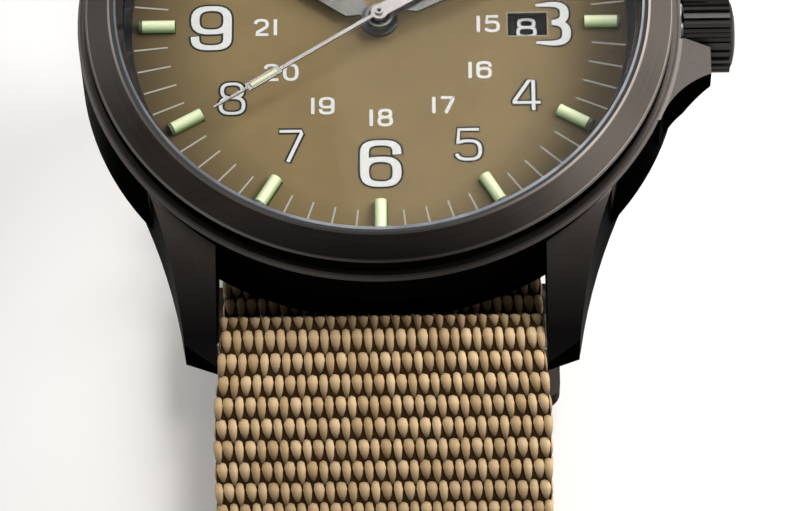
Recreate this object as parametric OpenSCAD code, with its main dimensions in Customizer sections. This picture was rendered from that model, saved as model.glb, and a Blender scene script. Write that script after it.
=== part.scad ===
// Field wristwatch on a pass-through fabric strap, closed as on a wrist.
// Millimetres. +Z leaves the dial, +Y points to 12 o'clock, +X to the crown.
// The origin is the centre of the strap's flat wrist face below the case.

/* [Case] */
// Outer diameter of the middle case
case_d = 41.8; // [41.2:0.1:42.4]
// Wall of the middle case round its through bore, which holds dial and movement
case_wall = 2.6; // [2.4:0.1:2.8]
// Height of the middle case, without back and bezel
case_h = 7.3; // [7.1:0.1:7.8]
// Thickness of the case back below the middle case
back_t = 1.1; // [0.9:0.1:1.4]
// Thickness of the case back's floor
back_floor_t = 0.9; // [0.6:0.1:1]
// Distance of the case back's edge behind the middle case's side
back_inset = 2; // [1.7:0.1:2.2]
// Height of the rim that the case back sends into the bore
back_rim_h = 1; // [0.8:0.1:1.2]
// Chamfer on the lower edge of the middle case
case_chamfer = 1.8; // [1.4:0.1:1.9]
// Small chamfer on the upper edge of the middle case
edge_chamfer = 0.3; // [0.1:0.1:0.4]

/* [Bezel and crystal] */
// Distance of the bezel's side behind the middle case's side
bezel_inset = 0.6; // [0.5:0.1:0.9]
// Height of the bezel above the middle case at its inner edge
bezel_h = 2.3; // [2.2:0.05:2.5]
// Drop of the bezel's sloped top from its inner to its outer edge
bezel_drop = 1; // [0.8:0.05:1.1]
// Height of the narrow neck that parts the bezel from the middle case
neck_h = 0.35; // [0.2:0.05:0.5]
// Depth of that neck behind the middle case's edge
neck_depth = 1.1; // [0.8:0.1:1.5]
// Width of the bezel from its side to the crystal opening
bezel_w = 1.75; // [1.65:0.05:1.85]
// Wall of the ring gasket between crystal and bezel
crystal_gasket_t = 0.25; // [0.15:0.05:0.3]
// Thickness of the flat crystal
crystal_t = 1.4; // [1.2:0.1:1.5]
// Height of the crystal's top above the bezel's inner edge
crystal_proud = 0.03; // [0:0.01:0.1]

/* [Dial and hands] */
// Height of the dial's top above the middle case's lower face
dial_h = 5.9; // [5.8:0.05:5.95]
// Thickness of the dial plate
dial_t = 0.4; // [0.3:0.05:0.5]
// Thickness of the rehaut ring, the inner wall round the dial, at its top
rehaut_t = 0.55; // [0.45:0.05:0.7]
// Reach of the rehaut ring's sloped foot over the dial
rehaut_slope = 0.5; // [0.3:0.05:0.6]
// Radius of the gas tubes on dial and hands
tube_r = 0.43; // [0.36:0.01:0.46]
// Length of a dial tube
tube_l = 2.5; // [2.2:0.1:2.7]
// Gap between a dial tube's outer end and the rehaut ring's foot
tube_inset = 0.5; // [0.4:0.1:0.7]
// Length of the socket that holds a dial tube's outer end
socket_l = 0.25; // [0.2:0.05:0.4]
// Length of the hour hand, as a share of the dial's radius
hour_share = 0.52; // [0.49:0.01:0.55]
// Width of the hour hand
hour_w = 2.1; // [1.9:0.1:2.4]
// Length of the minute hand from the centre
minute_l = 14.6; // [14:0.1:15]
// Width of the minute hand
minute_w = 1.8; // [1.7:0.1:2]
// Length of the second hand from the centre
second_l = 13.6; // [13:0.1:14.2]
// Width of the second hand's blade
second_w = 0.26; // [0.22:0.02:0.34]
// Length of the second hand's counterweight
second_tail_l = 5.2; // [4.4:0.1:6]
// Thickness of the hour and minute hands
hand_t = 0.25; // [0.2:0.01:0.28]
// Angle of the hour hand clockwise from 12
hour_angle = 305; // [300:1:309]
// Angle of the minute hand clockwise from 12
minute_angle = 63.9; // [60:0.5:68]
// Angle of the second hand clockwise from 12
second_angle = 236.5; // [232:0.5:240]
// Width of the date window along the radius
window_w = 2.7; // [2.3:0.1:2.9]
// Height of the date window
window_h = 1.8; // [1.6:0.1:2]
// Distance of the date window's centre from the dial's centre
window_x = 10.25; // [10.15:0.05:10.35]

/* [Crown] */
// Diameter of the crown over its flutes
crown_d = 5.3; // [5:0.1:5.5]
// Gap between the crown's inner face and the middle case
crown_gap = 0.2; // [0.15:0.05:0.4]
// Length of the crown
crown_l = 3.55; // [3.4:0.05:3.8]
// Number of flutes round the crown
flutes = 24; // [20:1:26]
// Depth of a flute
flute_depth = 0.24; // [0.16:0.02:0.28]
// Distance of the crown's axis below the dial's top
stem_drop = 1.7; // [1.6:0.05:1.75]
// Radius of the stem
stem_r = 0.5; // [0.42:0.02:0.54]
// Travel of the crown when it is pulled
crown_travel = 1; // [0.8:0.1:1.1]
// Reach of the crown guards beyond the middle case
guard_reach = 1.9; // [1.7:0.1:2.2]
// Half the gap between the guards at the case's edge
guard_in_y = 2.07; // [1.9:0.05:2.2]
// Half the gap between the guards at their tips
guard_tip_y = 2.81; // [2.7:0.05:2.9]

/* [Lugs and bars] */
// Gap between the two lugs of a pair
lug_gap = 22.4; // [22.2:0.1:22.6]
// Reach of the lugs' ends beyond the middle case
lug_reach = 3.9; // [3.7:0.1:4.1]
// Radius of the hollow curve along a lug's outer flank
flank_r = 46; // [44:1:50]
// Radius of the curve that drops a lug's upper face to its end
lug_top_r = 16; // [15.5:0.1:16.6]
// Distance of a spring bar behind the lugs' ends
bar_inset = 2; // [1.9:0.1:2.1]
// Height of the spring bars above the origin
bar_z = 4.1; // [4:0.05:4.2]
// Radius of the spring bars
bar_r = 0.9; // [0.8:0.05:0.95]
// Radius of a spring bar's end pin
pin_r = 0.4; // [0.3:0.05:0.45]
// Depth of the pin holes in the lugs
pin_depth = 1.2; // [1:0.1:1.4]

/* [Strap] */
// Gap between the strap's side and a lug
strap_side_gap = 0.3; // [0.2:0.05:0.5]
// Thickness of the strap
strap_t = 1.2; // [1.1:0.05:1.25]
// Gap between the strap and the case back
strap_gap = 0.3; // [0.2:0.05:0.4]
// Angle below the horizontal at which the strap leaves a spring bar
leave_angle = 22; // [18:1:26]
// Radius of the strap's upper curves, beside the lugs
upper_r = 25; // [24:0.5:26]
// Angle at which the upper curve becomes the lower one
bend_angle = 48; // [44:1:52]
// Radius of the strap's lower curves
lower_r = 22; // [21.5:0.5:23]
// Gap between two layers of the strap that lie on each other
layer_gap = 0.1; // [0.05:0.05:0.15]
// Radius of the round holes in the strap
hole_r = 1; // [0.8:0.1:1.2]
// Angle round the lower curve at which the free end stops
tail_angle = 78; // [70:1:84]

/* [Buckle and keepers] */
// Distance of the buckle's bar from the case's axis, on the 12 o'clock side
buckle_y = 4; // [3.5:0.1:4.5]
// Radius of the buckle's bar
buckle_bar_r = 0.9; // [0.8:0.05:1]
// Reach of the buckle frame's front edge beyond the strap's bend
frame_reach = 2.3; // [2.2:0.1:2.9]
// Width of the frame's rails
rail_w = 2; // [1.7:0.1:2.2]
// Thickness of the frame
frame_t = 1.7; // [1.5:0.1:1.7]
// Width of the tongue
tongue_w = 1.8; // [1.5:0.1:1.9]
// Thickness of the tongue
tongue_t = 1; // [0.8:0.1:1]
// Width of a keeper along the strap
keeper_w = 3; // [2.6:0.1:3.2]
// Thickness of a keeper's wall
keeper_t = 1.2; // [1:0.1:1.3]
// Angle round the lower curve at which the loose keeper sits
keeper_angle = 36; // [32:1:40]

/* [Movement] */
// Diameter of the movement
movement_d = 25.6; // [25.4:0.1:25.8]
// Diameter of the button cell
cell_d = 9.5; // [9.2:0.1:9.6]
// Height of the button cell
cell_h = 2.1; // [1.9:0.1:2.2]
// Thickness of the train's wheels
wheel_t = 0.15; // [0.1:0.01:0.16]
// Distance between the centre axis and the third wheel's axis
third_a = 3; // [2.98:0.01:3.04]
// Distance between the centre axis and the intermediate wheel's axis
inter_a = 3.15; // [3.13:0.01:3.2]
// Distance between the intermediate wheel's and the rotor's axes
rotor_a = 2.04; // [2:0.01:2.08]
// Distance between the centre axis and the minute wheel's axis
minute_a = 2.6; // [2.55:0.01:2.65]
// Distance between the centre axis and the date wheel's axis
date_a = 6.24; // [6.2:0.01:6.28]

/* [Hidden] */

// Facets of large and of small round faces
$fn = 96;
small_fn = 32;
// Overrun of every cut past the face it opens
over = 0.5;

// Running clearance of a shaft in its hole
run_gap = 0.03;
// Levels of the case, from the wrist upwards
back_z = strap_t + strap_gap;
case_z = back_z + back_t;
case_top = case_z + case_h;
dial_z = case_z + dial_h;
dial_under = dial_z - dial_t;
stem_z = dial_z - stem_drop;
neck_top = case_top + neck_h;
bezel_in_z = case_top + bezel_h;
bezel_out_z = bezel_in_z - bezel_drop;
crystal_top = bezel_in_z + crystal_proud;
crystal_z = crystal_top - crystal_t;

// Radii of the case
case_r = case_d / 2;
bore_r = case_r - case_wall;
bezel_r = case_r - bezel_inset;
neck_r = case_r - neck_depth;
crystal_bore_r = bezel_r - bezel_w;
crystal_r = crystal_bore_r - crystal_gasket_t;
rehaut_wall_gap = 0.05;
rehaut_r = bore_r - rehaut_wall_gap - rehaut_t;
rehaut_foot_r = rehaut_r - rehaut_slope;
bezel_chamfer = 0.12;
back_r = case_r - back_inset;
back_rim_gap = 0.45;
back_rim_r = bore_r - back_rim_gap;
back_rim_t = 0.65;
back_chamfer = 0.6;
notch_r = 1.3;
notch_count = 6;
back_gasket_h = 0.35;
back_gasket_gap = 0.02;

// Lugs
lug_in_x = lug_gap / 2;
lug_end_y = case_r + lug_reach;
bar_y = lug_end_y - bar_inset;
lug_root_y = 5;
lug_out_inset = 2.66;
lug_out_x = case_r - lug_out_inset;
lug_tip_slant = 3.8;
lug_top_drop = 0.3;
lug_top_l = 11.3;
lug_top_y = lug_end_y - lug_top_l;
flank_w = 5.3;
flank_l = 13;
flank_x = lug_in_x + flank_w;
flank_y = lug_end_y - flank_l;
flank_turn = 22.4;
lug_foot_l = 2.2;
lug_foot_y = lug_end_y - lug_foot_l;
lug_foot_rise = 1.3;
slot_wall = 0.3;
slot_top_gap = 0.4;

// Crown guards
guard_top_drop = 0.2;
guard_low = 3.6;
guard_tip_rise = 1.8;
guard_x = case_r + guard_reach;
guard_root_l = 3.9;
guard_root_x = case_r - guard_root_l;
guard_outer_y = 4.52;
guard_root_y = 8.6;
sweep_l = 3.8;
sweep_x = case_r + sweep_l;
sweep_y = 10.4;
sweep_r = 5.8;
crown_clear = 0.2;

// Crown and stem
crown_r = crown_d / 2;
crown_x = case_r + crown_gap;
crown_end = crown_x + crown_l;
crown_wall = 0.9;
crown_cavity_l = 2.3;
crown_dome = 0.35;
crown_edge = 0.3;
ridge_share = 0.38;
valley_start_share = 0.5;
valley_end_share = 0.88;
crown_tube_r = 1.25;
stem_room = 0.1;
gasket_l = 0.5;
gasket_inset = 0.5;
tube_end_gap = 0.1;
crown_tube_bore = stem_r + stem_room;
crown_tube_x = crown_x + gasket_inset + gasket_l + crown_travel + tube_end_gap;
gasket_x = crown_x + gasket_inset;
gasket_gap = 0.02;
stem_start = 5.6;
stem_grip = 3;
stem_end = crown_x + stem_grip;
pinion_x = 6.4;
pinion_l = 1.8;
sliding_pinion_r = 0.85;
sliding_teeth = 12;
groove_x = 9.4;
groove_w = 0.5;
groove_r = 0.25;
stem_gap = 0.05;

// Lug pins and spring bars
strap_w = lug_gap - 2 * strap_side_gap;
bar_half = strap_w / 2;
bar_end_t = 0.4;
bar_wall = 0.25;
bar_bore_r = bar_r - bar_wall;
pin_gap = 0.03;
pin_head_r = bar_bore_r - pin_gap;
pin_head_l = 1;
pin_end_gap = 0.1;
pin_tip_x = lug_in_x + pin_depth - pin_end_gap;
spring_gap = 0.05;
spring_wire = 0.2;
spring_r = bar_bore_r - spring_gap;
spring_in_r = spring_r - spring_wire;

// Strap path: radii of its centre line
wrap_gap = 0.05;
bar_wrap_r = bar_r + wrap_gap + strap_t / 2;
turn_r = 2.25;
buckle_wrap_r = buckle_bar_r + wrap_gap + strap_t / 2;
fold_turn_r = 2;
fold_overlap = 0.05;
fold_angle = 35;
fold_l = 11;
cross_turn_r = 2;
cross_angle = 45;
under_gap = 0.15;
under_r = buckle_wrap_r + strap_t + under_gap;
rise_angle = 25;
rise_turn_r = 3;
arc_steps = 6;

// Centres of the strap's side curves, 6 o'clock side
leave_dir = 180 + leave_angle;
bend_dir = 180 + bend_angle;
upper_y = -bar_y + (bar_wrap_r - upper_r) * cos(leave_dir - 90);
upper_z = bar_z + (bar_wrap_r - upper_r) * sin(leave_dir - 90);
lower_y = upper_y + (upper_r - lower_r) * cos(bend_dir - 90);
lower_z = upper_z + (upper_r - lower_r) * sin(bend_dir - 90);
main_z = lower_z - lower_r;
buckle_z = main_z - buckle_wrap_r;
fold_z = main_z - strap_t + fold_overlap;
tail_z = fold_z - strap_t - layer_gap;
tail_r = lower_z - tail_z;

// Places where the path's short bends start
fold_lift = buckle_z - fold_z + fold_turn_r;
fold_y = buckle_y + (fold_turn_r + buckle_wrap_r - fold_lift * cos(fold_angle)) / sin(fold_angle);
cross_lift = buckle_z - main_z + cross_turn_r;
cross_y = buckle_y - (cross_turn_r + under_r - cross_lift * cos(cross_angle)) / sin(cross_angle);
rise_lift = tail_z - rise_turn_r - buckle_z;
rise_y = buckle_y + (under_r + rise_turn_r + rise_lift * cos(rise_angle)) / sin(rise_angle);

// Slot for the tongue and the round holes
tongue_side_gap = 0.25;
slot_near = 1.1;
slot_far = 4.7;
fold_slot_gap = 0.1;
fold_slot_r = buckle_wrap_r + strap_t / 2 + fold_slot_gap;
hole_angles = [52, 61, 70];
front_hole_angles = [52, 34];

// Buckle and keepers
frame_clear = 0.3;
frame_in_x = strap_w / 2 + frame_clear;
frame_out_x = frame_in_x + rail_w;
frame_l = frame_reach - cross_y + buckle_y;
frame_corner = 1.4;
boss_r = 1.6;
tongue_r = 1.5;
tongue_over = 0.6;
keeper_side_gap = 0.25;
keeper_in_x = strap_w / 2 + keeper_side_gap;
keeper_out_x = keeper_in_x + keeper_t;
keeper_offset = 6.2;
keeper_y = buckle_y + keeper_offset;
keeper_top = main_z + strap_t / 2;
keeper_low = buckle_z - under_r - strap_t / 2;
loose_in_gap = 0.25;
loose_in_r = lower_r - strap_t / 2 - loose_in_gap;
loose_out_r = tail_r + strap_t / 2;

// Movement levels, from the dial downwards
disc_t = 0.2;
disc_dial_gap = 0.1;
work_space = 0.6;
train_space = 1.2;
disc_z = dial_under - disc_dial_gap - disc_t;
plate_top = disc_z - work_space;
plate_t = 0.6;
plate_z = plate_top - plate_t;
bridge_t = 0.4;
bridge_top = plate_z - train_space;
bridge_z = bridge_top - bridge_t;
movement_r = movement_d / 2;
plate_gap = 0.02;
plate_r = movement_r - plate_gap;
ring_z = case_z + back_rim_h;
ring_gap = 0.1;
dial_gap = 0.05;
ring_r = bore_r - ring_gap;
dial_r = bore_r - dial_gap;

// Wheel levels above the bridge
second_lift = 0.15;
level_gap = 0.05;
centre_lift = 0.15;
inter_lift = 0.1;
second_wheel_z = bridge_top + second_lift;
third_wheel_z = second_wheel_z + wheel_t + level_gap;
third_pinion_z = third_wheel_z + wheel_t;
centre_wheel_z = third_pinion_z + centre_lift;
inter_wheel_z = centre_wheel_z + wheel_t + inter_lift;
arbor_r = 0.12;
pivot_r = 0.09;
pivot_hole_r = pivot_r + run_gap;
pinion_t = 0.28;

// Teeth; the modules follow from the axis distances
second_teeth = 60;
second_pinion_teeth = 8;
third_teeth = 60;
third_pinion_teeth = 8;
centre_teeth = 64;
inter_pinion_teeth = 10;
inter_teeth = 40;
rotor_teeth = 8;
cannon_teeth = 10;
minute_teeth = 30;
minute_pinion_teeth = 8;
hour_teeth = 32;
date_wheel_teeth = 64;
date_teeth = 31;
second_pair_m = 2 * third_a / (second_pinion_teeth + third_teeth);
centre_pair_m = 2 * third_a / (third_pinion_teeth + centre_teeth);
inter_pair_m = 2 * inter_a / (inter_pinion_teeth + second_teeth);
rotor_pair_m = 2 * rotor_a / (rotor_teeth + inter_teeth);
cannon_pair_m = 2 * minute_a / (cannon_teeth + minute_teeth);
hour_pair_m = 2 * minute_a / (minute_pinion_teeth + hour_teeth);
date_pair_m = 2 * date_a / (hour_teeth + date_wheel_teeth);

// Axes of the wheels in the plan
third_dir = 215;
inter_dir = 300;
rotor_dir = 280;
minute_dir = 60;
date_dir = 250;
third_pos = [third_a * cos(third_dir), third_a * sin(third_dir)];
inter_pos = [inter_a * cos(inter_dir), inter_a * sin(inter_dir)];
rotor_pos = inter_pos + [rotor_a * cos(rotor_dir), rotor_a * sin(rotor_dir)];
minute_pos = [minute_a * cos(minute_dir), minute_a * sin(minute_dir)];
date_pos = [date_a * cos(date_dir), date_a * sin(date_dir)];

// Tooth form, as shares of the module and of the tooth pitch
tip_share = 0.85;
root_share = 1.15;
root_width_share = 0.62;
pitch_width_share = 0.44;
tip_width_share = 0.2;

// Motion work on the dial side
hour_lift = 0.35;
pipe_gap = 0.05;
dial_hole_gap = 0.1;
cannon_drop = 0.03;
minute_wheel_z = plate_top + level_gap;
hour_wheel_z = plate_top + hour_lift;
hour_wheel_t = 0.2;
date_wheel_t = 0.15;
cannon_t = 0.22;
minute_pinion_t = 0.5;
second_arbor_r = 0.15;
centre_bore_r = second_arbor_r + pipe_gap;
centre_tube_r = 0.45;
hour_bore_r = centre_tube_r + pipe_gap;
hour_pipe_r = 0.8;
dial_hole_r = hour_pipe_r + dial_hole_gap;
plate_hole_r = centre_tube_r + pipe_gap;

// Hands and dial tubes
tube_start = rehaut_foot_r - tube_inset - tube_l;
hour_l = hour_share * rehaut_r;
hour_hand_lift = 0.6;
minute_hand_lift = 1.22;
second_hand_lift = 1.78;
hour_hand_z = dial_z + hour_hand_lift;
minute_hand_z = dial_z + minute_hand_lift;
second_hand_z = dial_z + second_hand_lift;
second_hand_t = 0.15;
hand_tube_r = 0.3;
hand_tube_gap = 0.02;
hour_base_y = 2.1;
minute_base_y = 2.5;
hub_r = 1.28;
minute_hub_r = 0.95;
second_hub_r = 0.58;
neck_w = 0.9;
neck_taper = 0.7;
tip_l = 2.2;
hour_tube_l = 4;
minute_tube_l = 8.2;
second_tube_start = 8.5;
second_tube_l = 2.1;
second_tube_w = 0.62;
second_tube_r = 0.2;
tail_start_w = 0.95;
tail_end_w = 1.35;
cap_h = 0.18;
tube_bed = 0.15;
tube_side_gap = 0.06;

// Electric parts
cell_dir = 131;
cell_dist = 7.75;
cell_pos = [cell_dist * cos(cell_dir), cell_dist * sin(cell_dir)];
cell_z = plate_z - cell_h;
cell_rim = 0.5;
cell_step = 0.25;
clamp_t = 0.15;
clamp_w = 2.6;
stator_lift = 0.4;
stator_z = bridge_top + stator_lift;
stator_t = 0.3;
stator_ring_r = 1.7;
stator_hole_r = 1.05;
magnet_r = 0.8;
magnet_t = 0.5;
magnet_sink = 0.1;
magnet_z = stator_z - magnet_sink;
coil_y = -9.15;
coil_left = -8.2;
coil_right = 3.6;
coil_leg_w = 1.4;
coil_core_t = 0.3;
coil_core_w = 1.2;
coil_r = 0.72;
coil_start = -6.6;
coil_end = 1.7;
stator_arm_w = 1;
stator_arm_y = -6.4;
board_t = 0.3;
board_x = 3.6;
board_y = 4.2;
board_w = 5.6;
board_l = 4.2;
chip_w = 2.2;
chip_t = 0.5;
can_r = 0.65;
can_l = 5;
can_x = -0.5;
can_y = 9.2;
pillar_r = 0.34;
pillar_pos = [[3.5, 0.9], [-2.2, -4.9], [4.3, -3]];
bridge_y = -2.2;
bridge_r = 4.2;
bridge_ear_r = 0.75;
screw_r = 0.55;
screw_h = 0.2;
screw_slot_w = 0.14;
screw_slot_h = 0.1;

// Date work
disc_out_r = 11.8;
disc_in_r = 8.75;
disc_tooth_h = 0.45;
disc_tooth_share = 0.35;
disc_seat_r = 10.9;
disc_side_gap = 0.1;
date_hub_r = 0.5;
finger_w = 0.5;
finger_t = 0.12;
finger_reach = 1.9;
finger_dir = 70;
jumper_w = 0.35;
jumper_t = 0.15;
jumper_pos = [-4.2, 4.6];
jumper_post_r = 0.4;
jumper_dir = 75;
jumper_l = 4.1;
lever_arm = 2.6;
lever_w = 0.8;
lever_t = 0.2;
lever_gap = 0.1;
lever_z = stem_z + stem_r + lever_gap;
lever_tip_r = 0.2;
lever_reach = 0.2;
key_pocket_x = 5.2;
key_pocket_w = 2.1;

// Colours
gunmetal = [0.2, 0.19, 0.18];
steel = [0.62, 0.62, 0.62];
brass = [0.8, 0.68, 0.4];
fabric = [0.72, 0.58, 0.4];
dial_colour = [0.45, 0.39, 0.27];
rubber_black = [0.06, 0.06, 0.06];

// One stretch of an arc: headings h0 to h1 about a centre, moved d to the left
function bend(c, r, h0, h1, d) =
    let (s = h1 > h0 ? 1 : -1, n = max(2, ceil(abs(h1 - h0) / arc_steps)))
    [for (i = [0:n]) let (h = h0 + (h1 - h0) * i / n)
        [c[0] + (r - s * d) * cos(h - 90 * s), c[1] + (r - s * d) * sin(h - 90 * s)]];

// One side of the stitched fold, from its end to the buckle's bar
function fold_side(d) = concat(
    [[buckle_y + fold_l, fold_z + d]],
    bend([fold_y, fold_z - fold_turn_r], fold_turn_r, 180, 180 + fold_angle, -d),
    bend([buckle_y, buckle_z], buckle_wrap_r, 180 + fold_angle, 180 + fold_angle - arc_steps, -d));

// One side of the strap, from the buckle's bar round the wrist to the free end
function strap_side(d) = concat(
    bend([buckle_y, buckle_z], buckle_wrap_r, 180 + fold_angle, 0, -d),
    bend([-lower_y, lower_z], lower_r, 0, 180 - bend_angle, -d),
    bend([-upper_y, upper_z], upper_r, 180 - bend_angle, 180 - leave_angle, -d),
    bend([bar_y, bar_z], bar_wrap_r, 180 - leave_angle, 270, -d),
    bend([bar_y - bar_wrap_r - turn_r, strap_t / 2 + turn_r], turn_r, 270, 180, -d),
    bend([-bar_y + bar_wrap_r + turn_r, strap_t / 2 + turn_r], turn_r, 180, 90, -d),
    bend([-bar_y, bar_z], bar_wrap_r, 90, 180 + leave_angle, -d),
    bend([upper_y, upper_z], upper_r, 180 + leave_angle, 180 + bend_angle, -d),
    bend([lower_y, lower_z], lower_r, 180 + bend_angle, 360, -d),
    bend([cross_y, main_z - cross_turn_r], cross_turn_r, 0, -cross_angle, -d),
    bend([buckle_y, buckle_z], under_r, -cross_angle, rise_angle, -d),
    bend([rise_y, tail_z - rise_turn_r], rise_turn_r, rise_angle, 0, -d),
    bend([-lower_y, lower_z], tail_r, 0, tail_angle, -d));

function reverse(list) = [for (i = [len(list) - 1:-1:0]) list[i]];

// A tube standing on the plane z
module ring(r_out, r_in, z, h) {
    difference() {
        translate([0, 0, z])
            cylinder(r=r_out, h=h);
        translate([0, 0, z - over])
            cylinder(r=r_in, h=h + 2 * over);
    }
}

// A disc standing on the plane z
module disc(r, z, h) {
    translate([0, 0, z])
        cylinder(r=r, h=h);
}

// A block between two opposite corners
module block(low, high) {
    translate(low)
        cube(high - low);
}

// A rod along X between two abscissas
module rod_x(r, x0, x1) {
    translate([x0, 0, 0])
        rotate([0, 90, 0])
            cylinder(r=r, h=x1 - x0);
}

// Outline of a wheel with straight-sided teeth
module tooth_outline(teeth, m) {
    pitch_r = m * teeth / 2;
    root_r = pitch_r - root_share * m;
    tip_r = pitch_r + tip_share * m;
    step = 360 / teeth;
    polygon([for (i = [0:teeth - 1])
        for (p = [[root_r, -root_width_share / 2], [pitch_r, -pitch_width_share / 2],
                  [tip_r, -tip_width_share / 2], [tip_r, tip_width_share / 2],
                  [pitch_r, pitch_width_share / 2], [root_r, root_width_share / 2]])
            [p[0] * cos((i + p[1]) * step), p[0] * sin((i + p[1]) * step)]]);
}

module wheel(teeth, m, z, h) {
    translate([0, 0, z])
        linear_extrude(height=h)
            tooth_outline(teeth, m);
}

// Mid-case: drum, lugs, crown guards, bore, strap slots and pin holes
module drum() {
    rotate_extrude()
        polygon([[bore_r, case_z], [case_r - case_chamfer, case_z],
                 [case_r, case_z + case_chamfer], [case_r, case_top - edge_chamfer],
                 [case_r - edge_chamfer, case_top], [bore_r, case_top]]);
}

module lug_plan() {
    difference() {
        polygon([[lug_in_x, lug_root_y], [lug_out_x, lug_root_y],
                 [lug_out_x, lug_end_y - lug_tip_slant], [lug_in_x, lug_end_y]]);
        translate([flank_x + flank_r * cos(flank_turn), flank_y + flank_r * sin(flank_turn)])
            circle(r=flank_r, $fn=240);
    }
}

module lug_side() {
    lug_top = case_top - lug_top_drop;
    intersection() {
        union() {
            square([lug_top_y, lug_top]);
            translate([lug_top_y, lug_top - lug_top_r])
                circle(r=lug_top_r);
        }
        polygon([[0, case_z], [lug_foot_y, case_z], [lug_end_y, case_z + lug_foot_rise],
                 [lug_end_y, lug_top], [0, lug_top]]);
    }
}

module lug() {
    intersection() {
        translate([0, 0, case_z])
            linear_extrude(height=case_h)
                lug_plan();
        rotate([90, 0, 90])
            linear_extrude(height=lug_out_x + over)
                lug_side();
    }
}

module guard() {
    low = case_z + guard_low;
    top = case_top - guard_top_drop;
    intersection() {
        linear_extrude(height=case_top)
            difference() {
                polygon([[guard_root_x, guard_in_y], [crown_x, guard_in_y],
                         [guard_x, guard_tip_y], [guard_x, guard_outer_y],
                         [guard_x, guard_root_y], [guard_root_x, guard_root_y]]);
                translate([sweep_x, sweep_y])
                    circle(r=sweep_r);
            }
        translate([0, guard_root_y, 0])
            rotate([90, 0, 0])
                linear_extrude(height=guard_root_y)
                    polygon([[guard_root_x, low], [case_r, low], [guard_x, low + guard_tip_rise],
                             [guard_x, top], [guard_root_x, top]]);
    }
}

module lug_pair() {
    lug();
    mirror([1, 0, 0])
        lug();
}

module strap_slot() {
    slot_y = bar_y - bar_wrap_r - strap_t / 2 - slot_wall;
    slot_top = bar_z + bar_wrap_r + strap_t / 2 + slot_top_gap;
    block([-lug_in_x, slot_y, case_z - over], [lug_in_x, case_r + over, slot_top]);
}

module pin_hole() {
    translate([0, bar_y, bar_z])
        rod_x(pin_r + pin_gap, lug_in_x - over, lug_in_x + pin_depth, $fn=small_fn);
}

module mid_case() {
    color(gunmetal)
        difference() {
            union() {
                drum();
                lug_pair();
                mirror([0, 1, 0])
                    lug_pair();
                guard();
                mirror([0, 1, 0])
                    guard();
            }
            disc(bore_r, case_z - over, case_h + 2 * over);
            strap_slot();
            mirror([0, 1, 0])
                strap_slot();
            translate([0, 0, stem_z])
                rod_x(crown_r + crown_clear, crown_x - over / 2, guard_x + over);
            translate([0, 0, stem_z])
                rod_x(crown_tube_r, bore_r - over, case_r + over);
            for (sx = [0, 1], sy = [0, 1])
                mirror([sx, 0, 0])
                    mirror([0, sy, 0])
                        pin_hole();
        }
}

module bezel_ring() {
    color(gunmetal)
        rotate_extrude()
            polygon([[rehaut_r, case_top], [neck_r, case_top], [neck_r, neck_top],
                     [bezel_r, neck_top], [bezel_r, bezel_out_z - bezel_chamfer],
                     [bezel_r - bezel_chamfer, bezel_out_z], [crystal_bore_r, bezel_in_z],
                     [crystal_bore_r, crystal_z], [rehaut_r, crystal_z]]);
}

module crystal() {
    color([0.8, 0.88, 0.95, 0.25])
        disc(crystal_r, crystal_z, crystal_t);
}

module crystal_gasket() {
    color(rubber_black)
        ring(crystal_bore_r, crystal_r, crystal_z, crystal_t - bezel_chamfer);
}

module rehaut_ring() {
    color([0.16, 0.18, 0.2])
        rotate_extrude()
            polygon([[rehaut_foot_r, dial_z], [bore_r - rehaut_wall_gap, dial_z],
                     [bore_r - rehaut_wall_gap, case_top], [rehaut_r, case_top]]);
}

// One dial tube lying along +Y, with length l from its inner end
module dial_rod(r, start, l, z) {
    translate([0, start, z])
        rotate([-90, 0, 0])
            cylinder(r=r, h=l, $fn=small_fn);
}

module dial_plate() {
    bed_w = tube_r + tube_side_gap;
    bed_end = tube_start + tube_l + tube_side_gap;
    color(dial_colour)
        difference() {
            disc(dial_r, dial_under, dial_t);
            disc(dial_hole_r, dial_under - over, dial_t + 2 * over);
            block([window_x - window_w / 2, -window_h / 2, dial_under - over],
                  [window_x + window_w / 2, window_h / 2, dial_z + over]);
            for (i = [0:11])
                rotate([0, 0, i * 30])
                    block([-bed_w, tube_start - tube_side_gap, dial_z - tube_bed],
                          [bed_w, bed_end, dial_z + over]);
        }
}

module dial_tubes() {
    color([0.75, 0.85, 0.45])
        for (i = [0:11])
            rotate([0, 0, i * 30])
                dial_rod(tube_r, tube_start, tube_l - socket_l, dial_z - tube_bed + tube_r);
}

module tube_sockets() {
    color([0.12, 0.12, 0.1])
        for (i = [0:11])
            rotate([0, 0, i * 30])
                dial_rod(tube_r, tube_start + tube_l - socket_l, socket_l,
                         dial_z - tube_bed + tube_r);
}

// Outline of a sword hand along +Y with a slot for its tube
module sword(l, w, hub, slot_l, base_y) {
    slot_w = 2 * (hand_tube_r + hand_tube_gap);
    slot_end = l - tip_l;
    difference() {
        union() {
            circle(r=hub);
            polygon([[-neck_w / 2, 0], [neck_w / 2, 0], [neck_w / 2, base_y - neck_taper],
                     [w / 2, base_y], [w / 2, slot_end], [0, l], [-w / 2, slot_end],
                     [-w / 2, base_y], [-neck_w / 2, base_y - neck_taper]]);
        }
        translate([-slot_w / 2, slot_end - slot_l])
            square([slot_w, slot_l]);
    }
}

module hour_hand() {
    color(steel)
        rotate([0, 0, -hour_angle])
            translate([0, 0, hour_hand_z])
                linear_extrude(height=hand_t)
                    difference() {
                        sword(hour_l, hour_w, hub_r, hour_tube_l, hour_base_y);
                        circle(r=hour_pipe_r);
                    }
}

module hour_tube() {
    color([0.78, 0.88, 0.6])
        rotate([0, 0, -hour_angle])
            translate([0, hour_l - tip_l - hour_tube_l, hour_hand_z + hand_t / 2])
                rotate([-90, 0, 0])
                    cylinder(r=hand_tube_r, h=hour_tube_l, $fn=small_fn);
}

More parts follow.
